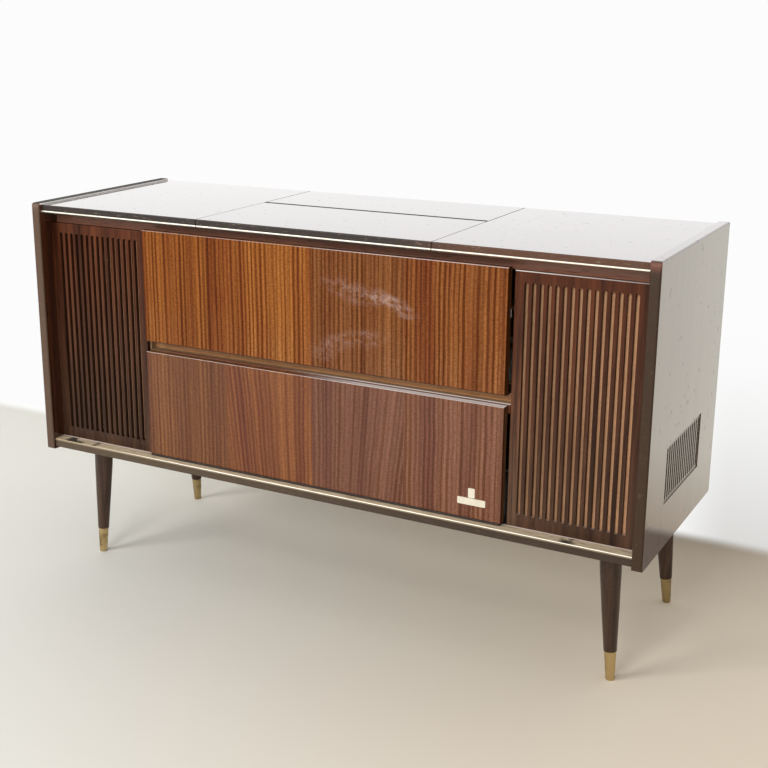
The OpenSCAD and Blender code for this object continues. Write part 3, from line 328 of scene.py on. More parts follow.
class Veneer(Paint):
    """Ribbon-striped veneer of a flap in four leaves, book-matched at the middle joint.
    Each step lays one more mark over the body colour."""

    def __init__(self, name, light, dark, lean=0.0, coat=0.08, shine=0.08):
        super().__init__(name, Coat_Weight=coat, Coat_Roughness=0.06, Coat_IOR=1.5,
                         Specular_IOR_Level=shine)
        self.low, self.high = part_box(name)
        self.half = self.high.x
        self.leaf = self.half / 2
        self.dark = dark
        self.x, self.y, self.z = self.split()
        self.away = self.math("ABSOLUTE", self.x)
        self.body = self.stripes(self.stripe_place(lean), light, dark)

    def stripe_place(self, lean):
        """Place across the stripes. The lean turns the stripes of the inner leaves, most
        of all beside the joints to the outer leaves."""
        inner = self.below(self.away, self.leaf - MM, self.leaf + MM)
        turn = self.times(inner, self.between(self.away, 0.0, self.leaf), -lean)
        above = self.math("SUBTRACT", self.z, (self.low.z + self.high.z) / 2)
        sway, sway_reach = self.streaks(self.x, self.z, 4.0, 4.0, 2.0), 8.0 * MM
        across = self.line(sway, sway_reach, self.line(above, turn, self.away))
        # The right half shows another part of the same pattern
        other_part = 0.7
        return self.line(self.math("GREATER_THAN", self.x, 0.0), other_part, across)

    def stripes(self, across, light, dark):
        """Colour of the ribbons with bands, fibres, pores and mottle."""
        pitch = sizes_of().stripe_pitch
        drift = self.streaks(across, self.z, 22.0, 1.1, 1.0)
        wave = self.math("SINE", self.line(across, 2.0 * math.pi / pitch, self.times(drift, 5.0)))
        ribbons = self.streaks(across, self.z, 1.0 / (0.62 * pitch), 1.1, 2.0, 0.6)
        ribbons = self.line(wave, 0.11, self.line(ribbons, 0.9, 0.05))
        bands = self.streaks(across, self.z, 26.0, 0.8, 2.0, layer=3.0)
        self.fibres = self.streaks(across, self.z, 620.0, 14.0, 3.0, 0.7)
        self.pores = self.streaks(across, self.z, 1300.0, 90.0, 2.0, 0.7)
        mottle = self.streaks(across, self.z, 150.0, 330.0, 3.0, 0.6)
        middle = tuple((first + second) / 2 for first, second in zip(light, dark))
        body = self.ramp(ribbons, (0.34, dark), (0.45, middle), (0.56, light),
                         (0.68, scaled(light, 1.18)))
        for share, mask, start, end, shade in (
                (0.85, bands, 0.36, 0.56, (0.60, 0.40, 0.36)),
                (0.7, self.fibres, 0.36, 0.58, (0.66, 0.48, 0.40)),
                (0.8, self.pores, 0.31, 0.42, (0.42, 0.32, 0.24)),
                (0.75, mottle, 0.36, 0.60, (0.62, 0.53, 0.46))):
            body = self.shaded(share, body, mask, start, end, shade)
        return body

    def leaves(self, tints, foot=CLEAR):
        """Tints the leaves from the left to the right, and paints a bluish reflection over the
        foot of them all.
        """
        for count, tint in enumerate(tints):
            start = count * self.leaf - self.half
            there = self.inside(self.x, start, start + self.leaf, 3.0 * BLUR)
            self.body = self.tinted(there, self.body, tint)
        # Painted reflection: the foot tint blues the low part of the face
        foot_height = 0.11
        low_reflection = self.below(self.z, self.low.z, self.low.z + foot_height)
        self.body = self.tinted(low_reflection, self.body, foot)
        from_joint = self.math("PINGPONG", self.x, self.leaf)
        seam = self.below(from_joint, 0.2 * MM, 0.7 * MM)
        self.body = self.mix(self.times(seam, 0.3), self.body, self.dark)

    def smear(self, centre, spread, slope, share):
        """Scuffed patch. Its centre and its spread are (x, z) in metres, its slope is rise
        over run."""
        along = self.math("SUBTRACT", self.x, centre[0])
        across = self.line(along, -slope, self.math("SUBTRACT", self.z, centre[1]))
        wander = self.line(self.clouds(14.0, 3.0), 0.05, -0.025)
        across = self.math("ADD", across, wander)
        far = [self.math("POWER", self.math("DIVIDE", place, reach), 2.0)
               for place, reach in zip((along, across), spread)]
        patch = self.below(self.math("ADD", *far), 0.15, 1.6)
        scratch = self.streaks(along, across, 420.0, 210.0, 6.0, 0.75)
        marks = self.line(self.between(scratch, 0.44, 0.56), 0.85, 0.15)
        cloud = self.between(self.clouds((70.0, 70.0, 90.0), 4.0, 0.65), 0.36, 0.66)
        rubbed = self.times(patch, marks, cloud, share)
        self.body = self.mix(rubbed, self.body, (0.55, 0.40, 0.36))

    def rims(self, bright, top_gleam=0.0):
        """Dark rim of the face, and a painted highlight on the arrises of the top. Bright is how
        pale they are on the right half, top_gleam is how much a painted reflection pales the top
        face there."""
        low, high = self.low, self.high
        side_rim = self.between(self.away, self.half - 1.2 * MM, self.half - 0.6 * MM)
        foot_rim = self.below(self.z, low.z + 0.4 * MM, low.z + 1.0 * MM)
        rim = self.times(self.larger(side_rim, foot_rim), 0.9)
        self.body = self.mix(rim, self.body, scaled(self.dark, 0.35))
        # Painted highlight along the front and back arrises of the top, paler on the right half
        front_arris = self.times(self.between(self.z, high.z - 1.4 * MM, high.z - 0.9 * MM),
                                 self.below(self.y, low.y + 0.6 * MM, low.y + 1.2 * MM))
        top_face = self.between(self.z, high.z - 0.3 * MM, high.z - 0.1 * MM)
        back_arris = self.times(top_face, self.between(self.y, high.y - 2.2 * MM,
                                                       high.y - 1.6 * MM))
        worn = self.times(self.math("ADD", front_arris, back_arris),
                          self.line(self.between(self.x, -0.05, 0.10), bright, 0.28))
        self.body = self.mix(worn, self.body, (0.95, 0.86, 0.84))
        # Painted reflection on the top face: pale over its middle and dark toward its back
        gleam = self.times(top_face, self.between(self.x, -0.05, 0.12), top_gleam)
        depth = self.math("DIVIDE", self.math("SUBTRACT", self.y, low.y), high.y - low.y)
        pale = (1.0, 0.92, 0.90)
        self.body = self.mix(gleam, self.body, self.ramp(
            depth, (0.0, (0.62, 0.50, 0.48)), (0.45, pale), (0.74, pale),
            (0.82, (0.16, 0.11, 0.10))))

    def closed(self):
        """The finished material."""
        self.set("Base Color", self.body)
        self.set("Roughness", self.ramp(self.clouds(5.0, 3.0), (0.3, 0.34), (0.7, 0.50)))
        self.relief(self.line(self.pores, 0.5, self.fibres), PORE_DEPTH, 0.5)
        return self.material


class Wood(Paint):
    """Straight-grained wood with pores, under lacquer or stain. Each step lays one more
    mark over the body colour."""

    def __init__(self, name, light, dark, grain, fine=1.0, coat=0.35, coat_ior=1.5,
                 coat_rough=0.08, shine=0.2):
        super().__init__(name, Coat_Roughness=coat_rough, Coat_IOR=coat_ior,
                         Specular_IOR_Level=shine)
        self.x, self.y, self.z = self.split()
        # These three become masks when a step needs them: the lacquer's weight, where the
        # lipping is, and where the dull boxes are
        self.coat = coat
        self.edge = 0.0
        self.dull = 0.0
        figure = self.clouds(scaled(grain, fine), 4.0, 0.6, 0.6)
        bands = self.clouds(scaled(grain, 0.16 * fine), 2.0, 0.5, 0.4)
        self.pores = self.clouds(scaled(grain, 12.0 * fine), 2.0, 0.7)
        body = self.ramp(figure, (0.33, dark), (0.66, light))
        body = self.shaded(0.6, body, bands, 0.35, 0.65, (0.50, 0.46, 0.44))
        self.body = self.shaded(0.75, body, self.pores, 0.33, 0.43, (0.35, 0.30, 0.28))

    def scuffs(self, share):
        """Pale worn flecks."""
        flecks = self.between(self.clouds(18.0, 6.0, 0.75), 0.66, 0.72)
        self.body = self.mix(self.times(flecks, share), self.body, (0.30, 0.17, 0.10))

    def fade(self, low_z, high_z, low_tint, high_tint):
        """Tints that pass into each other from a low to a high Z."""
        tint = self.mix(self.between(self.z, low_z, high_z), low_tint, high_tint)
        self.body = self.mix(1.0, self.body, tint, "MULTIPLY")

    def sheen(self, start, end, low_z, high_z, tint):
        """Painted sheen: a tint between two places along X, fading out from a low to a high Z."""
        half = 0.5 * MM
        there = self.times(self.inside(self.x, start - half, end + half, half),
                           self.below(self.z, low_z, high_z))
        self.body = self.tinted(there, self.body, tint)

    def slot_shade_and_chips(self, from_y, chipped_under):
        """Painted shade on the wood behind a Y, chipped pale under a Z on the right."""
        # Painted shade in the slots and on the back, behind the front face
        bare = self.between(self.y, from_y, from_y + MM)
        self.body = self.tinted(bare, self.body, (0.30, 0.26, 0.24))
        chipped = self.times(bare, self.between(self.x, 0.0, 0.1),
                             self.below(self.z, chipped_under - MM, chipped_under), 0.85)
        self.body = self.mix(chipped, self.body, (0.46, 0.36, 0.28))

    def lipping(self, edge_y, wear, first, second, along, start, end):
        """Another wood in front of a Y, with its share of wear. Its colour changes along a
        coordinate between two places. Comes before boxes and pits."""
        edge_wood = self.mix(self.between(along, start, end), first, second)
        self.edge = self.below(self.y, edge_y - BLUR, edge_y + BLUR)
        chips = self.between(self.clouds((55.0, 300.0, 300.0), 5.0, 0.75), 0.58, 0.66)
        edge_wood = self.mix(self.times(chips, wear), edge_wood, (0.24, 0.17, 0.13))
        self.body = self.mix(self.edge, self.body, edge_wood)
        coat_lost = 0.95 * self.coat
        self.coat = self.line(self.edge, -coat_lost, self.coat)

    def arris(self, front_y, top_z, start, end):
        """Painted highlight on an arris in front of a Y and above a Z, rising from one X to another
        and fainter near the right end."""
        # Painted highlight along the arris
        rim = self.times(self.below(self.y, front_y, front_y + 0.4 * MM),
                         self.between(self.z, top_z - 0.5 * MM, top_z),
                         self.between(self.x, start, end),
                         self.ramp(self.x, (0.38, 0.85), (0.60, 0.30)))
        self.body = self.mix(rim, self.body, (0.96, 0.88, 0.83))

    def box(self, tone, *bounds):
        """Paints all within a box, dull. Its bounds are the start and the end in |X|, in Y
        and in Z."""
        places = (self.math("ABSOLUTE", self.x), self.y, self.z)
        there = 1.0
        for place, start, end in zip(places, bounds[0::2], bounds[1::2]):
            there = self.times(there, self.inside(place, start, end, BLUR))
        self.body = self.mix(there, self.body, tone)
        self.dull = self.larger(self.dull, there)
        self.coat = self.times(self.coat, self.line(there, -0.85, 1.0))

    def pits(self, share):
        """Small dark marks that take their share of the lacquer away."""
        marks = self.between(self.clouds(62.0, 2.0, 0.6), 0.665, 0.70)
        self.coat = self.times(self.coat, self.line(marks, -share, 1.0))
        self.body = self.mix(self.times(marks, share), self.body, (0.09, 0.06, 0.045))

    def closed(self, rough):
        """The finished material, with its mean roughness."""
        self.set("Coat_Weight", self.coat)
        self.set("Base Color", self.body)
        worn = self.ramp(self.clouds(6.0), (0.3, rough * 0.8), (0.7, min(1.0, rough * 1.25)))
        self.set("Roughness", self.larger(self.line(self.edge, 0.4, worn), self.dull))
        self.relief(self.pores, PORE_DEPTH, 0.5)
        return self.material


# ---------------------------------------------------------------- metals, plastics and cloth

def aged_brass(name, shade, tarnish, rough, metal=1.0, ledge=None):
    """Brass with brown tarnish in clouds. A ledge is the height and the rear Y of a flat
    face that is dull and worn, as where things have slid over it."""
    paint = Paint(name, Metallic=metal)
    clouds = paint.clouds((30.0, 38.0, 38.0), 6.0, 0.68)
    streaks = paint.clouds((60.0, 700.0, 700.0), 3.0, 0.6)
    dark = paint.times(paint.between(clouds, 0.50, 0.72), tarnish)
    body = paint.mix(dark, shade, finish_of().tarnish[:])
    dull = paint.line(dark, 0.35, rough)
    if ledge:
        body, plain = worn_ledge(paint, body, shade, clouds, *ledge)
        dull = paint.line(plain, 0.22, dull)
        paint.set("Metallic", paint.line(plain, -0.8 * metal, metal))
    paint.set("Base Color", body)
    paint.set("Roughness", dull)
    paint.relief(streaks, 0.01 * MM, 0.3)
    return paint.material


def worn_ledge(paint, body, shade, clouds, top, rear):
    """Body colour with the ledge's flat top and its dark front face laid over it, and where
    these two are. The top has a painted highlight, a pale line in front of the rear Y."""
    x, y, z = paint.split()
    here = paint.below(z, top + 0.5 * MM, top + 1.0 * MM)
    on_top = paint.times(here, paint.between(z, top - 0.2 * MM, top - 0.1 * MM))
    front = paint.times(here, paint.below(z, top - 1.8 * MM, top - 1.2 * MM))
    arris = paint.mix(paint.between(x, -0.60, -0.20), (0.46, 0.36, 0.22), shade)
    body = paint.mix(here, body, paint.mix(front, arris, (0.25, 0.19, 0.12)))
    grime = paint.clouds((30.0, 420.0, 30.0), 6.0, 0.72)
    worn = paint.ramp(grime, (0.36, (0.26, 0.19, 0.12)), (0.46, (0.56, 0.43, 0.28)),
                      (0.66, (0.82, 0.69, 0.50)))
    # Places along X where the finish has gone and dark metal shows
    fringe = 0.015
    for start, end in ((-0.585, -0.540), (-0.515, -0.505), (0.470, 0.495)):
        bare = paint.times(paint.between(x, start, start + fringe),
                           paint.below(x, end, end + fringe), paint.between(clouds, 0.38, 0.46))
        worn = paint.mix(paint.times(bare, 0.95), worn, (0.030, 0.022, 0.016))
    # Painted highlight: a pale line along the rear of the top
    rear_highlight = paint.between(y, rear - 3.0 * MM, rear - 2.4 * MM)
    worn = paint.mix(rear_highlight, worn, (0.88, 0.74, 0.66))
    return paint.mix(on_top, body, worn), paint.larger(on_top, front)


def plated_steel(name, shade, rough, brushed=60.0):
    """Dull plated or brushed metal. Brushed is the scale of its lines."""
    paint = Paint(name, Metallic=1.0)
    lines = paint.clouds(brushed, 4.0, 0.6)
    stains = paint.clouds(22.0, 5.0, 0.7)
    body = paint.ramp(lines, (0.3, scaled(shade, 0.82)), (0.7, shade))
    paint.set("Base Color", paint.shaded(0.5, body, stains, 0.42, 0.60, (0.62, 0.57, 0.50)))
    paint.set("Roughness", paint.ramp(lines, (0.3, rough * 0.8), (0.7, rough * 1.25)))
    paint.relief(lines, 0.02 * MM, 0.4)
    return paint.material


def moulded(name, shade, rough, speck=0.10, coat=0.0):
    """Moulded plastic, enamel or rubber with slight clouds and a fine orange-peel skin."""
    paint = Paint(name, Coat_Weight=coat, Coat_Roughness=0.1)
    clouds = paint.clouds(30.0, 5.0, 0.65)
    skin = paint.clouds(900.0, 2.0)
    low = scaled(shade, 1.0 - speck * 2.2)
    paint.set("Base Color", paint.ramp(clouds, (0.30, low), (0.62, shade)))
    paint.set("Roughness", paint.ramp(clouds, (0.3, rough * 1.3), (0.7, rough * 0.85)))
    paint.relief(skin, 0.03 * MM, 0.35)
    return paint.material


def woven_cloth(name):
    """Plain weave of two-coloured slubby thread, darker toward the flaps and paler toward the
    right end on the right board.
    """
    finish = finish_of()
    paint = Paint(name, Roughness=0.9, Sheen_Weight=0.25, Sheen_Roughness=0.5)
    x, _, z = paint.split()
    turn = 2.0 * math.pi / sizes_of().weave_pitch
    warp, weft = [paint.math("ABSOLUTE", paint.math("SINE", paint.times(place, turn)))
                  for place in (x, z)]
    over = paint.times(*[paint.math("SINE", paint.times(place, turn / 2.0)) for place in (x, z)])
    height = paint.line(over, 0.5, paint.larger(warp, weft))
    slubs = paint.mix(0.5, paint.clouds((60.0, 60.0, 700.0), 3.0),
                      paint.clouds((700.0, 60.0, 60.0), 3.0))
    body = paint.mix(paint.between(over, -0.3, 0.3), finish.cloth_dark[:], finish.cloth_light[:])
    body = paint.shaded(0.45, body, slubs, 0.36, 0.6, (0.50, 0.45, 0.40))
    stains = paint.clouds((7.0, 7.0, 3.0), 3.0, 0.6)
    body = paint.shaded(1.0, body, stains, 0.36, 0.62, (0.74, 0.68, 0.64), (1.08, 1.05, 1.07))
    across_tint = paint.ramp(x, (0.40, (0.80, 0.80, 0.84)), (0.60, (1.16, 1.14, 1.20)))
    paint.set("Base Color", paint.tinted(paint.between(x, 0.0, 0.1), body, across_tint))
    paint.relief(height, 0.2 * MM, 0.8)
    return paint.material


def pressed_fibre(name, dark, light, rough):
    """Matted fibres: the pulp of the speaker cones, or hardboard."""
    paint = Paint(name, Roughness=rough, Specular_IOR_Level=0.25)
    fibres = paint.clouds(500.0, 5.0, 0.75, 1.5)
    clouds = paint.clouds(7.0, 3.0, 0.5)
    body = paint.ramp(fibres, (0.3, dark), (0.7, light))
    paint.set("Base Color", paint.shaded(0.5, body, clouds, 0.35, 0.65, (0.78, 0.76, 0.74)))
    paint.relief(fibres, 0.2 * MM, 0.5)
    return paint.material


def clear_glass(name):
    """Clear glass with faint dust."""
    paint = Paint(name, Transmission_Weight=1.0, IOR=1.5, Alpha=1.0)
    paint.set("Base Color", (0.96, 0.97, 0.95))
    paint.set("Roughness", paint.ramp(paint.clouds(90.0), (0.5, 0.0), (0.8, 0.10)))
    return paint.material


# ---------------------------------------------------------------- operators

class GRAM_OT_flaps(bpy.types.Operator):
    """Veneer of both drop flaps, with the rubbed places of long use"""

    bl_idname = "gram.flaps"
    bl_label = "Flap veneer"

    def execute(self, context):
        finish = finish_of()
        light, dark = finish.stripe_light[:], finish.stripe_dark[:]
        dress(self.upper(light, dark), "upper_flap")
        dress(self.lower(scaled(light, (0.77, 0.78, 1.15)), scaled(dark, 1.1)), "lower_flap")
        return {"FINISHED"}

    def upper(self, light, dark):
        """Veneer of the upper flap, with three rubbed places near its middle."""
        wood = Veneer("upper_flap", light, dark)
        # The foot tint is a painted reflection, bluish over the low part of the face
        wood.leaves(((0.86, 0.84, 0.80), (1.07, 1.13, 1.2), (0.79, 0.89, 1.45),
                     (0.90, 0.96, 1.3)), foot=(1.0, 1.08, 1.45))
        for centre, spread, slope, share in (((0.108, 0.638), (0.085, 0.020), -0.20, 0.29),
                                             ((0.145, 0.629), (0.060, 0.013), -0.22, 0.43),
                                             ((0.075, 0.552), (0.075, 0.019), 0.33, 0.26)):
            wood.smear(centre, spread, slope, share)
        wood.rims(bright=0.30)
        return wood.closed()

    def lower(self, light, dark):
        """Glossier and redder veneer of the lower flap."""
        wood = Veneer("lower_flap", light, dark, lean=0.11, coat=0.6, shine=0.15)
        wood.leaves(((0.79, 0.84, 0.72), (1.0, 0.98, 0.80), (0.81, 0.94, 1.95),
                     (0.94, 1.15, 2.3)))
        wood.rims(bright=0.12, top_gleam=0.95)
        return wood.closed()


class GRAM_OT_carcass(bpy.types.Operator):
    """Lacquered wood of the carcass, the top, the grilles and the rails"""

    bl_idname = "gram.carcass"
    bl_label = "Carcass wood"

    dark_seam = (0.016, 0.011, 0.008)
    pale_gleam = (0.95, 0.94, 0.92)
    # Farther than any place on the cabinet
    far = 1.0

    def execute(self, context):
        finish = finish_of()
        light, dark = finish.mahogany_light[:], finish.mahogany_dark[:]
        dress(self.top(light, dark), "left_top", "right_top", "rear_top_strip", "lid")
        dress(self.left_side(light, dark), "left_side_panel")
        dress(self.right_side(light, dark), "right_side_panel")
        dress(self.grille(light, dark), "left_grille", "right_grille")
        dress(self.ledge(), "bottom_board")
        vent = Wood("vent_lacquer", (0.17, 0.135, 0.10), (0.12, 0.098, 0.075), GRAIN_Z,
                    coat=0.8, coat_rough=0.1)
        dress(vent.closed(rough=0.4), "side_vent_grilles")
        rail = Wood("rail_wood", (0.72, 0.36, 0.16), (0.52, 0.25, 0.10), GRAIN_X)
        dress(rail.closed(rough=0.40), "cross_rail")
        # Painted light: the frieze is far paler than the carcass wood, so it reads lit in its
        # shaded recess
        frieze = Wood("frieze_wood_lit", (0.46, 0.210, 0.135), (0.31, 0.138, 0.088), GRAIN_X)
        dress(frieze.closed(rough=0.40), "frieze_rail")
        return {"FINISHED"}

    def top(self, light, dark):
        """Glossy lacquer of the top, with dark seams beside and behind the lid."""
        front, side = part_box("left_top")[0].y, abs(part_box("left_top")[1].x)
        hinge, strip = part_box("lid")[1].y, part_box("rear_top_strip")[0].y
        edge_depth, half_seam = 1.5 * MM, 1.2 * MM
        wood = Wood("lacquered_top", light, dark, GRAIN_X, coat=1.0, coat_ior=1.7,
                    coat_rough=0.035, shine=0.4)
        wood.lipping(front + edge_depth, wear=0.8, first=(0.026, 0.017, 0.013),
                     second=(0.095, 0.036, 0.015), along=wood.x, start=0.15, end=0.32)
        wood.box(self.dark_seam, side - half_seam, side + half_seam, strip, self.far,
                 0.0, self.far)
        wood.box(self.dark_seam, -self.far, side, hinge - 4.0 * MM, strip + 3.0 * MM,
                 0.0, self.far)
        wood.pits(0.4)
        return wood.closed(rough=0.10)

    def side_lipping(self, wood, wear, low_wood, nose_highlight_wood):
        """Front lipping of a side panel, with a painted highlight from the frieze up."""
        edge_depth, change_height, fade_height = 3.0 * MM, 0.46, 0.02
        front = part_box("left_side_panel")[0].y
        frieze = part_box("left_grille")[0].z + change_height
        wood.lipping(front + edge_depth, wear, low_wood, nose_highlight_wood, along=wood.z,
                     start=frieze, end=frieze + fade_height)

    def left_side(self, light, dark):
        """Left panel. Its inner face over the top boards gleams under a dark arris."""
        low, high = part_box("left_top")
        inner_face = abs(low.x)
        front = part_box("left_side_panel")[0].y + 4.0 * MM
        gleam_from, gleam_to = high.z + BLUR, high.z + 3.0 * MM
        wood = Wood("lacquered_left", light, dark, GRAIN_Z, coat=0.9, coat_rough=0.04, shine=0.3)
        self.side_lipping(wood, wear=0.35, low_wood=(0.100, 0.058, 0.036),
                          nose_highlight_wood=(0.150, 0.090, 0.064))
        wood.box(self.dark_seam, 0.0, self.far, front, self.far, gleam_to, self.far)
        wood.box(self.pale_gleam, 0.0, inner_face + BLUR, front, self.far, gleam_from, gleam_to)
        return wood.closed(rough=0.14)

    def right_side(self, light, dark):
        """Right panel, with small marks."""
        wood = Wood("lacquered_right", light, dark, GRAIN_Z, coat=0.93, coat_ior=1.54,
                    coat_rough=0.04, shine=0.3)
        self.side_lipping(wood, wear=0.12, low_wood=(0.043, 0.021, 0.009),
                          nose_highlight_wood=(0.190, 0.074, 0.050))
        wood.pits(0.5)
        return wood.closed(rough=0.14)

    def grille(self, light, dark):
        """Slotted boards, greyer low down, with painted shade in the slots and painted highlights.
        """
        low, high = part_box("left_grille")
        slot_foot = low.z + 24.0 * MM
        # The plain stile of the right board, beside the flaps
        stile_from, stile_to = abs(high.x), abs(high.x) + 17.0 * MM
        wood = Wood("grille_wood", scaled(light, 1.15), dark, GRAIN_Z, coat=0.12, shine=0.1)
        wood.scuffs(0.2)
        wood.fade(low.z, high.z, (0.74, 1.14, 1.46), (0.98, 0.86, 0.70))
        wood.sheen(stile_from, stile_to, low.z + 0.18, low.z + 0.34, (2.4, 2.7, 2.7))
        wood.slot_shade_and_chips(low.y + 1.2 * MM, slot_foot)
        wood.arris(low.y + MM, high.z - 1.2 * MM, start=0.0, end=0.3)
        return wood.closed(rough=0.36)

    def ledge(self):
        """Dark base board with its worn front edge."""
        wood = Wood("ledge_wood", (0.105, 0.078, 0.050), (0.060, 0.044, 0.030), GRAIN_X,
                    shine=0.1)
        wood.scuffs(0.25)
        wood.lipping(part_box("left_grille")[0].y, wear=0.3, first=(0.104, 0.075, 0.051),
                     second=(0.060, 0.043, 0.032), along=wood.x, start=-0.5, end=0.5)
        return wood.closed(rough=0.40)


class GRAM_OT_inner_boards(bpy.types.Operator):
    """Plywood, hardboard and rubber inside and behind"""

    bl_idname = "gram.inner_boards"
    bl_label = "Inner boards"

    def execute(self, context):
        bare, brown = finish_of().plywood[:], finish_of().hardboard[:]
        for name, grain, nodes in (
                ("bare_plywood", GRAIN_X, ("deck_board", "speaker_baffles")),
                ("bare_plywood_upright", GRAIN_Z, ("partitions", "record_rack"))):
            ply = Wood(name, bare, scaled(bare, 0.70), grain, coat=0.15, coat_rough=0.3)
            dress(ply.closed(rough=0.62), *nodes)
        dress(self.shelf(bare), "middle_shelf")
        dress(pressed_fibre("hardboard", scaled(brown, 0.62), brown, rough=0.7), "back_panel")
        rubber = moulded("black_rubber", (0.028, 0.027, 0.026), rough=0.7)
        dress(rubber, "cord_grommet", "platter_mat")
        return {"FINISHED"}

    def shelf(self, bare):
        """Plywood shelf with a red front edge, and a painted highlight along its top
        on the right.
        """
        front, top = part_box("middle_shelf")[0].y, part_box("middle_shelf")[1].z
        wood = Wood("shelf_board", bare, scaled(bare, 0.70), GRAIN_X, coat=0.3, coat_rough=0.15)
        wood.lipping(front + 6.0 * MM, wear=0.3, first=(0.155, 0.080, 0.036),
                     second=(0.19, 0.062, 0.028), along=wood.x, start=-0.36, end=-0.30)
        wood.arris(front + 4.5 * MM, top - 0.4 * MM, start=-0.10, end=0.10)
        return wood.closed(rough=0.5)


class GRAM_OT_brass(bpy.types.Operator):
    """Brass lines, ledge strip and ferrules"""

    bl_idname = "gram.brass"
    bl_label = "Brass"

    def execute(self, context):
        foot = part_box("left_grille")[0]
        # The lines are near white and only half metal, a painted highlight of polished brass
        pale, brass = (0.98, 0.93, 0.80), finish_of().brass[:]
        for name, ledge, node in (("brass_lines", (foot.z, foot.y), "brass_trims"),
                                  ("brass_lid_line", None, "lid_brass_line")):
            dress(aged_brass(name, pale, tarnish=0.05, rough=0.42, metal=0.55, ledge=ledge), node)
        dress(aged_brass("brass_ferrules", brass, tarnish=0.85, rough=0.28), "leg_ferrules")
        return {"FINISHED"}


class GRAM_OT_legs(bpy.types.Operator):
    """Stained turned legs and their steel plates"""

    bl_idname = "gram.legs"
    bl_label = "Legs"

    def execute(self, context):
        wood = Wood("leg_wood", (0.085, 0.042, 0.024), (0.036, 0.018, 0.011), GRAIN_Z, fine=1.6)
        wood.scuffs(0.5)
        dress(wood.closed(rough=0.30), "legs")
        dress(plated_steel("leg_plate_steel", (0.32, 0.31, 0.30), rough=0.45), "leg_plates")
        return {"FINISHED"}


class GRAM_OT_speakers(bpy.types.Operator):
    """Speaker cloth, cones and baskets"""

    bl_idname = "gram.speakers"
    bl_label = "Speakers"

    def execute(self, context):
        dress(woven_cloth("speaker_cloth"), "grille_cloths")
        paper = pressed_fibre("speaker_paper", (0.014, 0.013, 0.012), (0.050, 0.046, 0.042),
                              rough=0.85)
        dress(paper, "speaker_cones")
        dress(plated_steel("basket_steel", (0.42, 0.42, 0.40), rough=0.4), "speaker_baskets")
        return {"FINISHED"}


class GRAM_OT_hardware(bpy.types.Operator):
    """Hinges, stays, studs and catches"""

    bl_idname = "gram.hardware"
    bl_label = "Hinges and stays"

    def execute(self, context):
        bronzed = moulded("bronzed_steel", (0.026, 0.016, 0.010), rough=0.60, speck=0.12)
        bright = plated_steel("stay_steel", finish_of().steel[:], rough=0.30)
        dress(bronzed, "hinge_fixed_leaves", "lid_hinge_leaf", "upper_hinge_leaf",
              "lower_hinge_leaf")
        dress(bright, "lid_stay", "upper_stay_arms", "lower_stay_arms", "upper_stay_brackets",
              "lower_stay_brackets", "stay_studs")
        dress(moulded("catch_plastic", (0.70, 0.66, 0.56), rough=0.35), "flap_catches")
        return {"FINISHED"}


class GRAM_OT_changer(bpy.types.Operator):
    """Enamel, platter, arm and motor of the record changer, and the speeds' numbers"""

    bl_idname = "gram.changer"
    bl_label = "Record changer"

    def execute(self, context):
        finish = finish_of()
        enamel = moulded("cream_enamel", finish.enamel[:], rough=0.28, speck=0.04, coat=0.6)
        dress(enamel, "changer_plate", "arm_turret")
        dress(moulded("ivory_arm", finish.ivory[:], rough=0.3, speck=0.05, coat=0.3), "pickup_arm")
        bakelite = moulded("dark_bakelite", (0.030, 0.022, 0.018), rough=0.3, coat=0.4)
        dress(bakelite, "pickup_head", "speed_lever")
        dress(plated_steel("spun_aluminium", (0.72, 0.72, 0.71), rough=0.3), "platter")
        dress(plated_steel("spindle_steel", (0.80, 0.80, 0.78), rough=0.18), "spindle")
        dress(plated_steel("motor_steel", (0.36, 0.36, 0.35), rough=0.42), "changer_motor")
        self.speed_numbers()
        return {"FINISHED"}

    def speed_numbers(self):
        """Numbers on the plate, on an arc round the speed lever's pivot."""
        hub_radius, arc_radius, figure_height = 9.0 * MM, 29.0 * MM, 6.5 * MM
        plate_under_platter = 0.2 * MM
        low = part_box("speed_lever")[0]
        pivot = low + Vector((hub_radius, hub_radius, 0.0))
        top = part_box("platter")[0].z - plate_under_platter
        figures = []
        for text, degrees in (("16", 30), ("33", 10), ("45", -10), ("78", -30)):
            turn = math.radians(degrees)
            place = (pivot.x - arc_radius * math.sin(turn), pivot.y + arc_radius * math.cos(turn),
                     top)
            figures.append((text, place, figure_height))
        ink = moulded("speed_ink", (0.05, 0.04, 0.035), rough=0.5)
        add_piece(figure_mesh("speed_numbers", figures, facing_front=False), "cabinet", ink)


class GRAM_OT_radio(bpy.types.Operator):
    """Front, glass, chassis, knobs and keys of the radio"""

    bl_idname = "gram.radio"
    bl_label = "Radio"

    def execute(self, context):
        finish = finish_of()
        ivory = moulded("ivory_keys", finish.ivory[:], rough=0.24, speck=0.05, coat=0.4)
        gilt = moulded("gilt_paint", finish.gilt[:], rough=0.36, speck=0.05, coat=0.2)
        dress(gilt, "radio_front")
        dress(clear_glass("dial_glass_clear"), "dial_glass")
        dress(plated_steel("chassis_steel", (0.50, 0.50, 0.48), rough=0.4), "radio_chassis")
        dress(moulded("pointer_red", (0.62, 0.035, 0.02), rough=0.3), "dial_pointer")
        dress(ivory, "volume_knob", "tone_knob", "tuning_knob", "power_key", "phono_key",
              "am_key", "fm_key")
        return {"FINISHED"}


# ---------------------------------------------------------------- small parts

def mesh_of(name, build):
    """The mesh that a bmesh has built."""
    mesh = bpy.data.meshes.new(name)
    build.to_mesh(mesh)
    build.free()
    return mesh


def bridge(build, rings, closed):
    """Faces between neighbouring rings of points and over the last ring, and also under the
    first ring where the form is closed."""
    made = []
    for inner, outer in zip(rings, rings[1:]):
        for i in range(len(inner)):
            j = (i + 1) % len(inner)
            made.append(build.faces.new((inner[i], inner[j], outer[j], outer[i])))
    made.append(build.faces.new(rings[-1]))
    if closed:
        made.append(build.faces.new(list(reversed(rings[0]))))
    return made


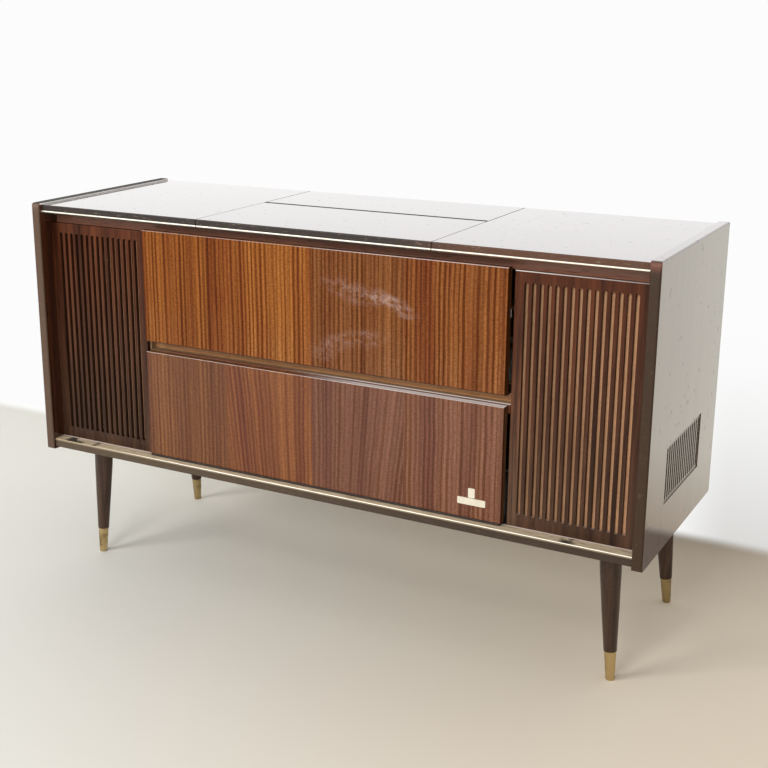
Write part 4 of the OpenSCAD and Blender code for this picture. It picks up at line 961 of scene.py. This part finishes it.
def beaded_plate(build, centre, half_w, half_h):
    """Plate on a face that looks toward -Y, with round corners and a raised border."""
    steps, corner_radius, least_radius = 4, 1.8 * MM, 0.3 * MM
    rings = []
    # Rings from the flap's face outward: edge, bead, and the sunk middle
    for inset, out in ((0.0, 0.0), (0.0, 0.8), (0.35, 1.1), (0.8, 1.1), (1.1, 0.8), (1.5, 0.8)):
        w, h = half_w - inset * MM, half_h - inset * MM
        corner = max(corner_radius - inset * MM, least_radius)
        ring = []
        for quarter in range(4):
            sx = 1 if quarter in (0, 3) else -1
            sz = 1 if quarter in (0, 1) else -1
            for step in range(steps + 1):
                angle = math.pi / 2 * (quarter + step / steps)
                ring.append(build.verts.new(centre + Vector((
                    sx * (w - corner) + corner * math.cos(angle), -out * MM,
                    sz * (h - corner) + corner * math.sin(angle)))))
        rings.append(ring)
    bmesh.ops.recalc_face_normals(build, faces=bridge(build, rings, closed=True))


def block_mesh(name, blocks):
    """One mesh of plain blocks, each given by its low and its high corner."""
    build = bmesh.new()
    for low, high in blocks:
        size = Vector(high) - Vector(low)
        middle = (Vector(high) + Vector(low)) / 2
        bmesh.ops.create_cube(build, size=1.0,
                              matrix=Matrix.Translation(middle) @ Matrix.Diagonal((*size, 1.0)))
    return mesh_of(name, build)


def figure_mesh(name, figures, facing_front):
    """One mesh of flat numerals, each given by its text, place and height."""
    turn = Matrix.Rotation(math.pi / 2 if facing_front else 0.0, 4, "X")
    build = bmesh.new()
    for text, place, height in figures:
        curve = bpy.data.curves.new(name, "FONT")
        curve.body = text
        curve.size = height
        curve.align_x = "CENTER"
        curve.align_y = "CENTER"
        curve.resolution_u = 3
        holder = bpy.data.objects.new(name, curve)
        flat = holder.to_mesh()
        flat.transform(Matrix.Translation(place) @ turn)
        build.from_mesh(flat)
        holder.to_mesh_clear()
        bpy.data.objects.remove(holder)
        bpy.data.curves.remove(curve)
    return mesh_of(name, build)


def cap_mesh(name, place, radius, thick):
    """Round cap that faces -Y, given by the middle of its front."""
    taper = 0.94
    build = bmesh.new()
    middle = Vector(place) + Vector((0.0, thick / 2, 0.0))
    bmesh.ops.create_cone(build, cap_ends=True, segments=48, radius1=radius,
                          radius2=radius * taper, depth=thick,
                          matrix=Matrix.Translation(middle)
                          @ Matrix.Rotation(math.pi / 2, 4, "X"))
    return mesh_of(name, build)


def screw_heads(name, places, facing, material):
    """Slotted screw heads of steel on the cabinet in one mesh, all facing the same way."""
    radius = sizes_of().screw_radius
    half_slot, rise, arc_steps = radius * 0.15, radius * 0.30, 10
    turn_between = 0.9
    build = bmesh.new()
    aim = Vector(facing).to_track_quat("Z", "Y").to_matrix().to_4x4()
    for count, place in enumerate(places):
        turned = Matrix.Translation(place) @ aim @ Matrix.Rotation(turn_between * count, 4, "Z")
        bmesh.ops.create_circle(build, cap_ends=True, segments=20, radius=radius,
                                matrix=turned @ Matrix.Translation((0.0, 0.0, rise * 0.35)))
        for way in (1.0, -1.0):
            rims = []
            for share, height in ((1.0, 0.0), (1.0, rise * 0.5), (0.80, rise)):
                reach = radius * share
                start = math.asin(half_slot / reach)
                arc = [start + (math.pi - 2.0 * start) * step / arc_steps
                       for step in range(arc_steps + 1)]
                rims.append([build.verts.new(turned @ Vector((
                    way * reach * math.cos(angle), way * reach * math.sin(angle), height)))
                    for angle in arc])
            bridge(build, rims, closed=False)
    bmesh.ops.recalc_face_normals(build, faces=build.faces)
    add_piece(mesh_of(name, build), "cabinet", material, smooth=True)


class GRAM_OT_blank_plate(bpy.types.Operator):
    """Plain gilt plate at the lower right of the lower flap, with nothing on it"""

    bl_idname = "gram.blank_plate"
    bl_label = "Blank plate"

    def execute(self, context):
        size = sizes_of()
        low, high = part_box("lower_flap")
        gap = 0.8 * MM
        middle = high.x - size.plate_from_right - size.plate_width / 2
        bottom = low.z + size.plate_from_bottom
        bar = Vector((middle, low.y, bottom + size.plate_height / 2))
        tab = Vector((middle, low.y, bottom + size.plate_height + gap + size.tab_height / 2))
        build = bmesh.new()
        beaded_plate(build, bar, size.plate_width / 2, size.plate_height / 2)
        beaded_plate(build, tab, size.tab_width / 2, size.tab_height / 2)
        gilt = moulded("plate_gilt", (0.80, 0.73, 0.58), rough=0.28, speck=0.06, coat=0.5)
        add_piece(mesh_of("blank_plate", build), "lower_flap", gilt, smooth=True)
        return {"FINISHED"}


class GRAM_OT_screws(bpy.types.Operator):
    """Screws of the back, the leg plates and the upper flap's hinge"""

    bl_idname = "gram.screws"
    bl_label = "Screws"

    def execute(self, context):
        steel = plated_steel("screw_steel", (0.50, 0.49, 0.47), rough=0.36)
        screw_heads("back_screws", self.back(), (0, 1, 0), steel)
        screw_heads("leg_plate_screws", self.leg_plates(), (0, 0, -1), steel)
        screw_heads("upper_hinge_screws", self.upper_hinge(), (0, -1, 0), steel)
        return {"FINISHED"}

    def back(self):
        """Places along the back panel's upper and lower edge, and half-way up its ends."""
        low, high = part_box("back_panel")
        inset, column = 9.0 * MM, 375.0 * MM
        columns = (low.x + inset, -column, 0.0, column, high.x - inset)
        places = [(x, high.y, z) for x in columns for z in (low.z + inset, high.z - inset)]
        return places + [(x, high.y, (low.z + high.z) / 2) for x in (columns[0], columns[-1])]

    def leg_plates(self):
        """Four places on each leg plate."""
        low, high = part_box("leg_plates")
        half_x, half_y = 30.0 * MM, 20.0 * MM
        hole_x, hole_y = 24.0 * MM, 14.0 * MM
        return [(mid_x + side_x, mid_y + side_y, low.z)
                for mid_x in (low.x + half_x, high.x - half_x)
                for mid_y in (low.y + half_y, high.y - half_y)
                for side_x in (-hole_x, hole_x)
                for side_y in (-hole_y, hole_y)]

    def upper_hinge(self):
        """Places along the fixed leaf of the upper flap's hinge."""
        low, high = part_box("cross_rail")
        leaf_thick, under_top, from_end, count = 0.9 * MM, 6.5 * MM, 20.0 * MM, 11
        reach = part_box("upper_hinge_leaf")[1].x - from_end
        return [(-reach + 2 * reach * i / (count - 1), low.y - leaf_thick, high.z - under_top)
                for i in range(count)]


class GRAM_OT_dial(bpy.types.Operator):
    """Scale sheet with ticks and numbers behind the glass, its bezel and the knobs' caps"""

    bl_idname = "gram.dial"
    bl_label = "Dial and knob caps"

    # Height of each scale over the window's lower edge, and its numbers
    rows = ((0.009, ("0", "2", "4", "6", "8", "10")),
            (0.024, ("5.5", "6", "7", "8", "10", "12", "16")),
            (0.039, ("88", "92", "96", "100", "104", "108")))

    def execute(self, context):
        low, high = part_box("dial_glass")
        self.scales(low, high)
        self.bezel(low, high)
        self.caps()
        return {"FINISHED"}

    def scales(self, low, high):
        """Dark sheet behind the pointer, with the ticks and numbers of three scales."""
        lap, margin, sheet_thick, ink_thick = 6.0 * MM, 22.0 * MM, 0.3 * MM, 0.1 * MM
        past_x, past_z, pointer_gap = 4.0 * MM, 2.0 * MM, 0.5 * MM
        figure_up, figure_height = 7.0 * MM, 5.8 * MM
        left, right = low.x + lap, high.x - lap
        bottom, top = low.z + lap, high.z - lap
        sheet_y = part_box("dial_pointer")[1].y + pointer_gap
        sheet = block_mesh("dial_sheet", [((left - past_x, sheet_y - sheet_thick,
                                            bottom - past_z),
                                           (right + past_x, sheet_y, top + past_z))])
        green = moulded("dial_green", (0.010, 0.020, 0.016), rough=0.25, coat=0.5)
        add_piece(sheet, "cabinet", green)
        front = sheet_y - sheet_thick - ink_thick
        start, end = left + margin, right - margin
        blocks, figures = [], []
        for up, numbers in self.rows:
            z = bottom + up
            blocks += self.ticks(start, end, front, front + ink_thick, z)
            for i, text in enumerate(numbers):
                x = start + (end - start) * i / (len(numbers) - 1)
                figures.append((text, (x, front, z + figure_up), figure_height))
        ink = moulded("dial_ink", (0.95, 0.86, 0.60), rough=0.5, speck=0.03)
        for mesh in (block_mesh("dial_ticks", blocks),
                     figure_mesh("dial_numbers", figures, facing_front=True)):
            add_piece(mesh, "cabinet", ink)

    def ticks(self, start, end, front, back, z):
        """Base line of one scale and its ticks, of which every fifth is tall."""
        count, half_width, line_height = 50, 0.3 * MM, 0.6 * MM
        blocks = [((start, front, z), (end, back, z + line_height))]
        for i in range(count + 1):
            x = start + (end - start) * i / count
            height = 3.4 * MM if i % 5 == 0 else 1.8 * MM
            blocks.append(((x - half_width, front, z), (x + half_width, back, z + height)))
        return blocks

    def bezel(self, low, high):
        """Brass frame round the glass."""
        wide, out = 4.0 * MM, 1.2 * MM
        y0, y1 = low.y - out, high.y
        bars = [((low.x - wide, y0, low.z - wide), (high.x + wide, y1, low.z)),
                ((low.x - wide, y0, high.z), (high.x + wide, y1, high.z + wide)),
                ((low.x - wide, y0, low.z), (low.x, y1, high.z)),
                ((high.x, y0, low.z), (high.x + wide, y1, high.z))]
        brass = aged_brass("bezel_brass", finish_of().brass[:], tarnish=0.3, rough=0.25)
        add_piece(block_mesh("dial_bezel", bars), "cabinet", brass)

    def caps(self):
        """Spun brass cap on each knob, and a dark pointer line on its rim."""
        cap_out, cap_thick, rim = 0.5 * MM, 1.0 * MM, 6.5 * MM
        half_wide, half_thick, line_from, line_to = 0.5 * MM, 0.2 * MM, 6.2 * MM, 4.3 * MM
        spun = plated_steel("spun_brass", (0.72, 0.58, 0.32), rough=0.26,
                            brushed=(20.0, 20.0, 1500.0))
        dark = moulded("pointer_ink", (0.03, 0.025, 0.02), rough=0.5)
        for body in ("volume_knob", "tone_knob", "tuning_knob"):
            low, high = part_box(body)
            middle, radius = (low + high) / 2, (high.x - low.x) / 2
            cap = cap_mesh(body + "_cap", (middle.x, low.y - cap_out, middle.z), radius - rim,
                           cap_thick)
            add_piece(cap, body, spun, smooth=True)
            top = middle.z + radius
            line = block_mesh(body + "_line", [(
                (middle.x - half_wide, low.y - half_thick, top - line_from),
                (middle.x + half_wide, low.y + half_thick, top - line_to))])
            add_piece(line, body, dark)


# ---------------------------------------------------------------- studio

class GRAM_OT_studio(bpy.types.Operator):
    """Floor, backdrop, soft lamps and the camera"""

    bl_idname = "gram.studio"
    bl_label = "Studio"

    def execute(self, context):
        settings = context.scene.studio_settings
        self.backdrop(settings)
        self.lamps(settings)
        self.camera(settings)
        return {"FINISHED"}

    def backdrop(self, settings):
        """Floor that curves up into a wall behind the cabinet, and the floor behind it."""
        wide, front, back, high = 8.0, -9.0, 9.0, 5.0
        wall, curve, steps, sunk = settings.wall_behind, 0.02, 6, 0.001
        outline = [(front, 0.0), (wall - curve, 0.0)]
        outline += [(wall - curve + curve * math.sin(turn), curve - curve * math.cos(turn))
                    for turn in (math.pi / 2 * step / steps for step in range(1, steps + 1))]
        outline.append((wall, high))
        sweep = self.sheet("studio_sweep", wide, outline, self.sweep_material(settings))
        sweep.data.shade_smooth()
        floor = Paint("floor_behind", Roughness=0.8)
        floor.set("Base Color", self.floor_tone(floor, settings))
        behind = self.sheet("studio_floor_behind", wide,
                            [(wall - 2.0 * curve, -sunk), (back, -sunk)], floor.material)

    def sheet(self, name, wide, outline, material):
        """Sheet that runs along X, through the Y and Z places of its outline."""
        mesh = bpy.data.meshes.new(name)
        points = [(x, y, z) for x in (-wide, wide) for y, z in outline]
        count = len(outline)
        faces = [(i, i + count, i + count + 1, i + 1) for i in range(count - 1)]
        mesh.from_pydata(points, [], faces)
        mesh.materials.append(material)
        made = bpy.data.objects.new(name, mesh)
        bpy.context.scene.collection.objects.link(made)
        return made

    def floor_tone(self, paint, settings):
        """Colour of the floor, cooler to the camera's left and warmer to its right."""
        x, y, _ = paint.split()
        across = paint.between(paint.line(y, 0.55, x), -0.9, 0.6)
        return paint.mix(across, scaled(settings.floor_colour, (0.94, 1.01, 1.08)),
                         scaled(settings.floor_colour, (1.0, 0.955, 0.89)))

    def sweep_material(self, settings):
        """Pale floor and wall; the wall is clear when it is seen from behind."""
        paint = Paint("studio_sweep", Roughness=0.75)
        _, y, z = paint.split()
        ray = paint.node("LightPath").outputs
        # The lacquer mirrors the foot of the wall darker than the open floor
        foot = paint.times(ray["Is Glossy Ray"], paint.between(y, 0.0, 0.4))
        floor = paint.mix(foot, self.floor_tone(paint, settings),
                          scaled(settings.floor_colour, 0.4))
        on_wall = paint.between(z, 0.0, 0.02)
        paint.set("Base Color", paint.mix(on_wall, floor, settings.wall_colour[:]))
        white = paint.node("Emission", self.wall_tone(paint, ray["Is Camera Ray"]))
        clear = paint.node("BsdfTransparent")
        seen = paint.times(paint.larger(ray["Is Camera Ray"], ray["Is Glossy Ray"]), on_wall)
        behind = paint.node("NewGeometry").outputs["Backfacing"]
        shown = paint.node("MixShader", seen, paint.shader.outputs[0], white.outputs[0])
        shown = paint.node("MixShader", behind, shown.outputs[0], clear.outputs[0])
        paint.join(shown.outputs[0], paint.tree.nodes["Material Output"].inputs["Surface"])
        return paint.material

    def wall_tone(self, paint, to_camera):
        """Near white to the camera, greyer at the wall's right foot. Where the lacquer
        mirrors it, the wall is warmer and darker low down."""
        x, _, z = paint.split()
        mirrored = paint.ramp(z, (0.0, (0.66, 0.57, 0.46)), (0.20, (0.96, 0.92, 0.81)),
                              (0.70, (1.0, 0.985, 0.90)), (0.80, CLEAR))
        corner = paint.times(paint.between(x, 0.44, 0.60), paint.below(z, -0.15, 0.50))
        seen = paint.mix(corner, scaled(CLEAR, 0.975), (0.66, 0.65, 0.63))
        return paint.mix(to_camera, mirrored, seen)

    def lamps(self, settings):
        """Soft lamps, and a plain world that shows white to the camera."""
        before_wall = 0.03
        rear = settings.wall_behind - before_wall
        soft_lamp("key_lamp", place=(-2.3, -3.2, 2.7), target=(0.0, 0.0, 0.45),
                  wide=1.6, high=1.6, power=85.0)
        soft_lamp("front_lamp", place=(0.25, -4.0, 2.3), target=(0.1, 0.0, 0.40),
                  wide=1.4, high=1.4, power=62.0)
        soft_lamp("rear_lamp", place=(-1.0, rear, 1.20), target=(-1.0, -3.0, 1.20),
                  wide=4.0, high=0.86, power=2.5)
        world = bpy.data.worlds.new("studio_world")
        bpy.context.scene.world = world
        world.use_nodes = True
        tree = world.node_tree
        background = tree.nodes["Background"]
        path = tree.nodes.new("ShaderNodeLightPath")
        level = tree.nodes.new("ShaderNodeMapRange")
        level.inputs["To Min"].default_value = settings.world_light
        level.inputs["To Max"].default_value = 1.0
        tree.links.new(path.outputs["Is Camera Ray"], level.inputs["Value"])
        tree.links.new(level.outputs["Result"], background.inputs["Strength"])
        background.inputs["Color"].default_value = (*CLEAR, 1.0)

    def camera(self, settings):
        """Camera at the photograph's place and angle."""
        yaw, pitch, roll = settings.camera_yaw, settings.camera_pitch, settings.camera_roll
        ahead = Vector((-math.sin(yaw) * math.cos(pitch), math.cos(yaw) * math.cos(pitch),
                        math.sin(pitch)))
        right = Vector((math.cos(yaw), math.sin(yaw), 0.0))
        up = right.cross(ahead)
        turned = right * math.cos(roll) + up * math.sin(roll)
        upright = up * math.cos(roll) - right * math.sin(roll)
        data = bpy.data.cameras.new("studio_camera")
        data.sensor_width = 36.0
        data.lens = settings.camera_lens
        data.shift_x = settings.shift_x
        data.shift_y = settings.shift_y
        data.clip_end = 60.0
        camera = bpy.data.objects.new("studio_camera", data)
        bpy.context.scene.collection.objects.link(camera)
        axes = Matrix((turned, upright, -ahead)).transposed().to_4x4()
        camera.matrix_world = Matrix.Translation(settings.camera_place) @ axes
        bpy.context.scene.camera = camera
        bpy.context.scene.view_settings.view_transform = "Standard"


def soft_lamp(name, place, target, wide, high, power):
    """Rectangular lamp that looks from its place to a target."""
    data = bpy.data.lights.new(name, "AREA")
    data.shape = "RECTANGLE"
    data.size = wide
    data.size_y = high
    data.energy = power
    lamp = bpy.data.objects.new(name, data)
    bpy.context.scene.collection.objects.link(lamp)
    lamp.location = place
    lamp.rotation_euler = (Vector(target) - Vector(place)).to_track_quat("-Z", "Y").to_euler()
    lamp.visible_camera = False
    return lamp


# ---------------------------------------------------------------- panel and registration

OPERATORS = (
    GRAM_OT_flaps,
    GRAM_OT_carcass,
    GRAM_OT_inner_boards,
    GRAM_OT_brass,
    GRAM_OT_legs,
    GRAM_OT_speakers,
    GRAM_OT_hardware,
    GRAM_OT_changer,
    GRAM_OT_radio,
    GRAM_OT_dial,
    GRAM_OT_screws,
    GRAM_OT_blank_plate,
    GRAM_OT_studio,
)


class GRAM_PT_panel(bpy.types.Panel):
    """Lists the steps that finish the cabinet"""

    bl_idname = "GRAM_PT_panel"
    bl_label = "Radiogram"
    bl_space_type = "VIEW_3D"
    bl_region_type = "UI"
    bl_category = "Radiogram"

    def draw(self, context):
        for operator in OPERATORS:
            self.layout.operator(operator.bl_idname)


CLASSES = (CabinetFinish, CabinetSizes, StudioSettings, *OPERATORS, GRAM_PT_panel)


def register():
    for made in CLASSES:
        bpy.utils.register_class(made)
    bpy.types.Scene.cabinet_finish = bpy.props.PointerProperty(type=CabinetFinish)
    bpy.types.Scene.cabinet_sizes = bpy.props.PointerProperty(type=CabinetSizes)
    bpy.types.Scene.studio_settings = bpy.props.PointerProperty(type=StudioSettings)


def unregister():
    del bpy.types.Scene.studio_settings
    del bpy.types.Scene.cabinet_sizes
    del bpy.types.Scene.cabinet_finish
    for made in reversed(CLASSES):
        bpy.utils.unregister_class(made)


def main():
    """Registers the classes and runs every step in order."""
    register()
    for operator in OPERATORS:
        group, name = operator.bl_idname.split(".")
        getattr(getattr(bpy.ops, group), name)()


if __name__ == "__main__":
    main()
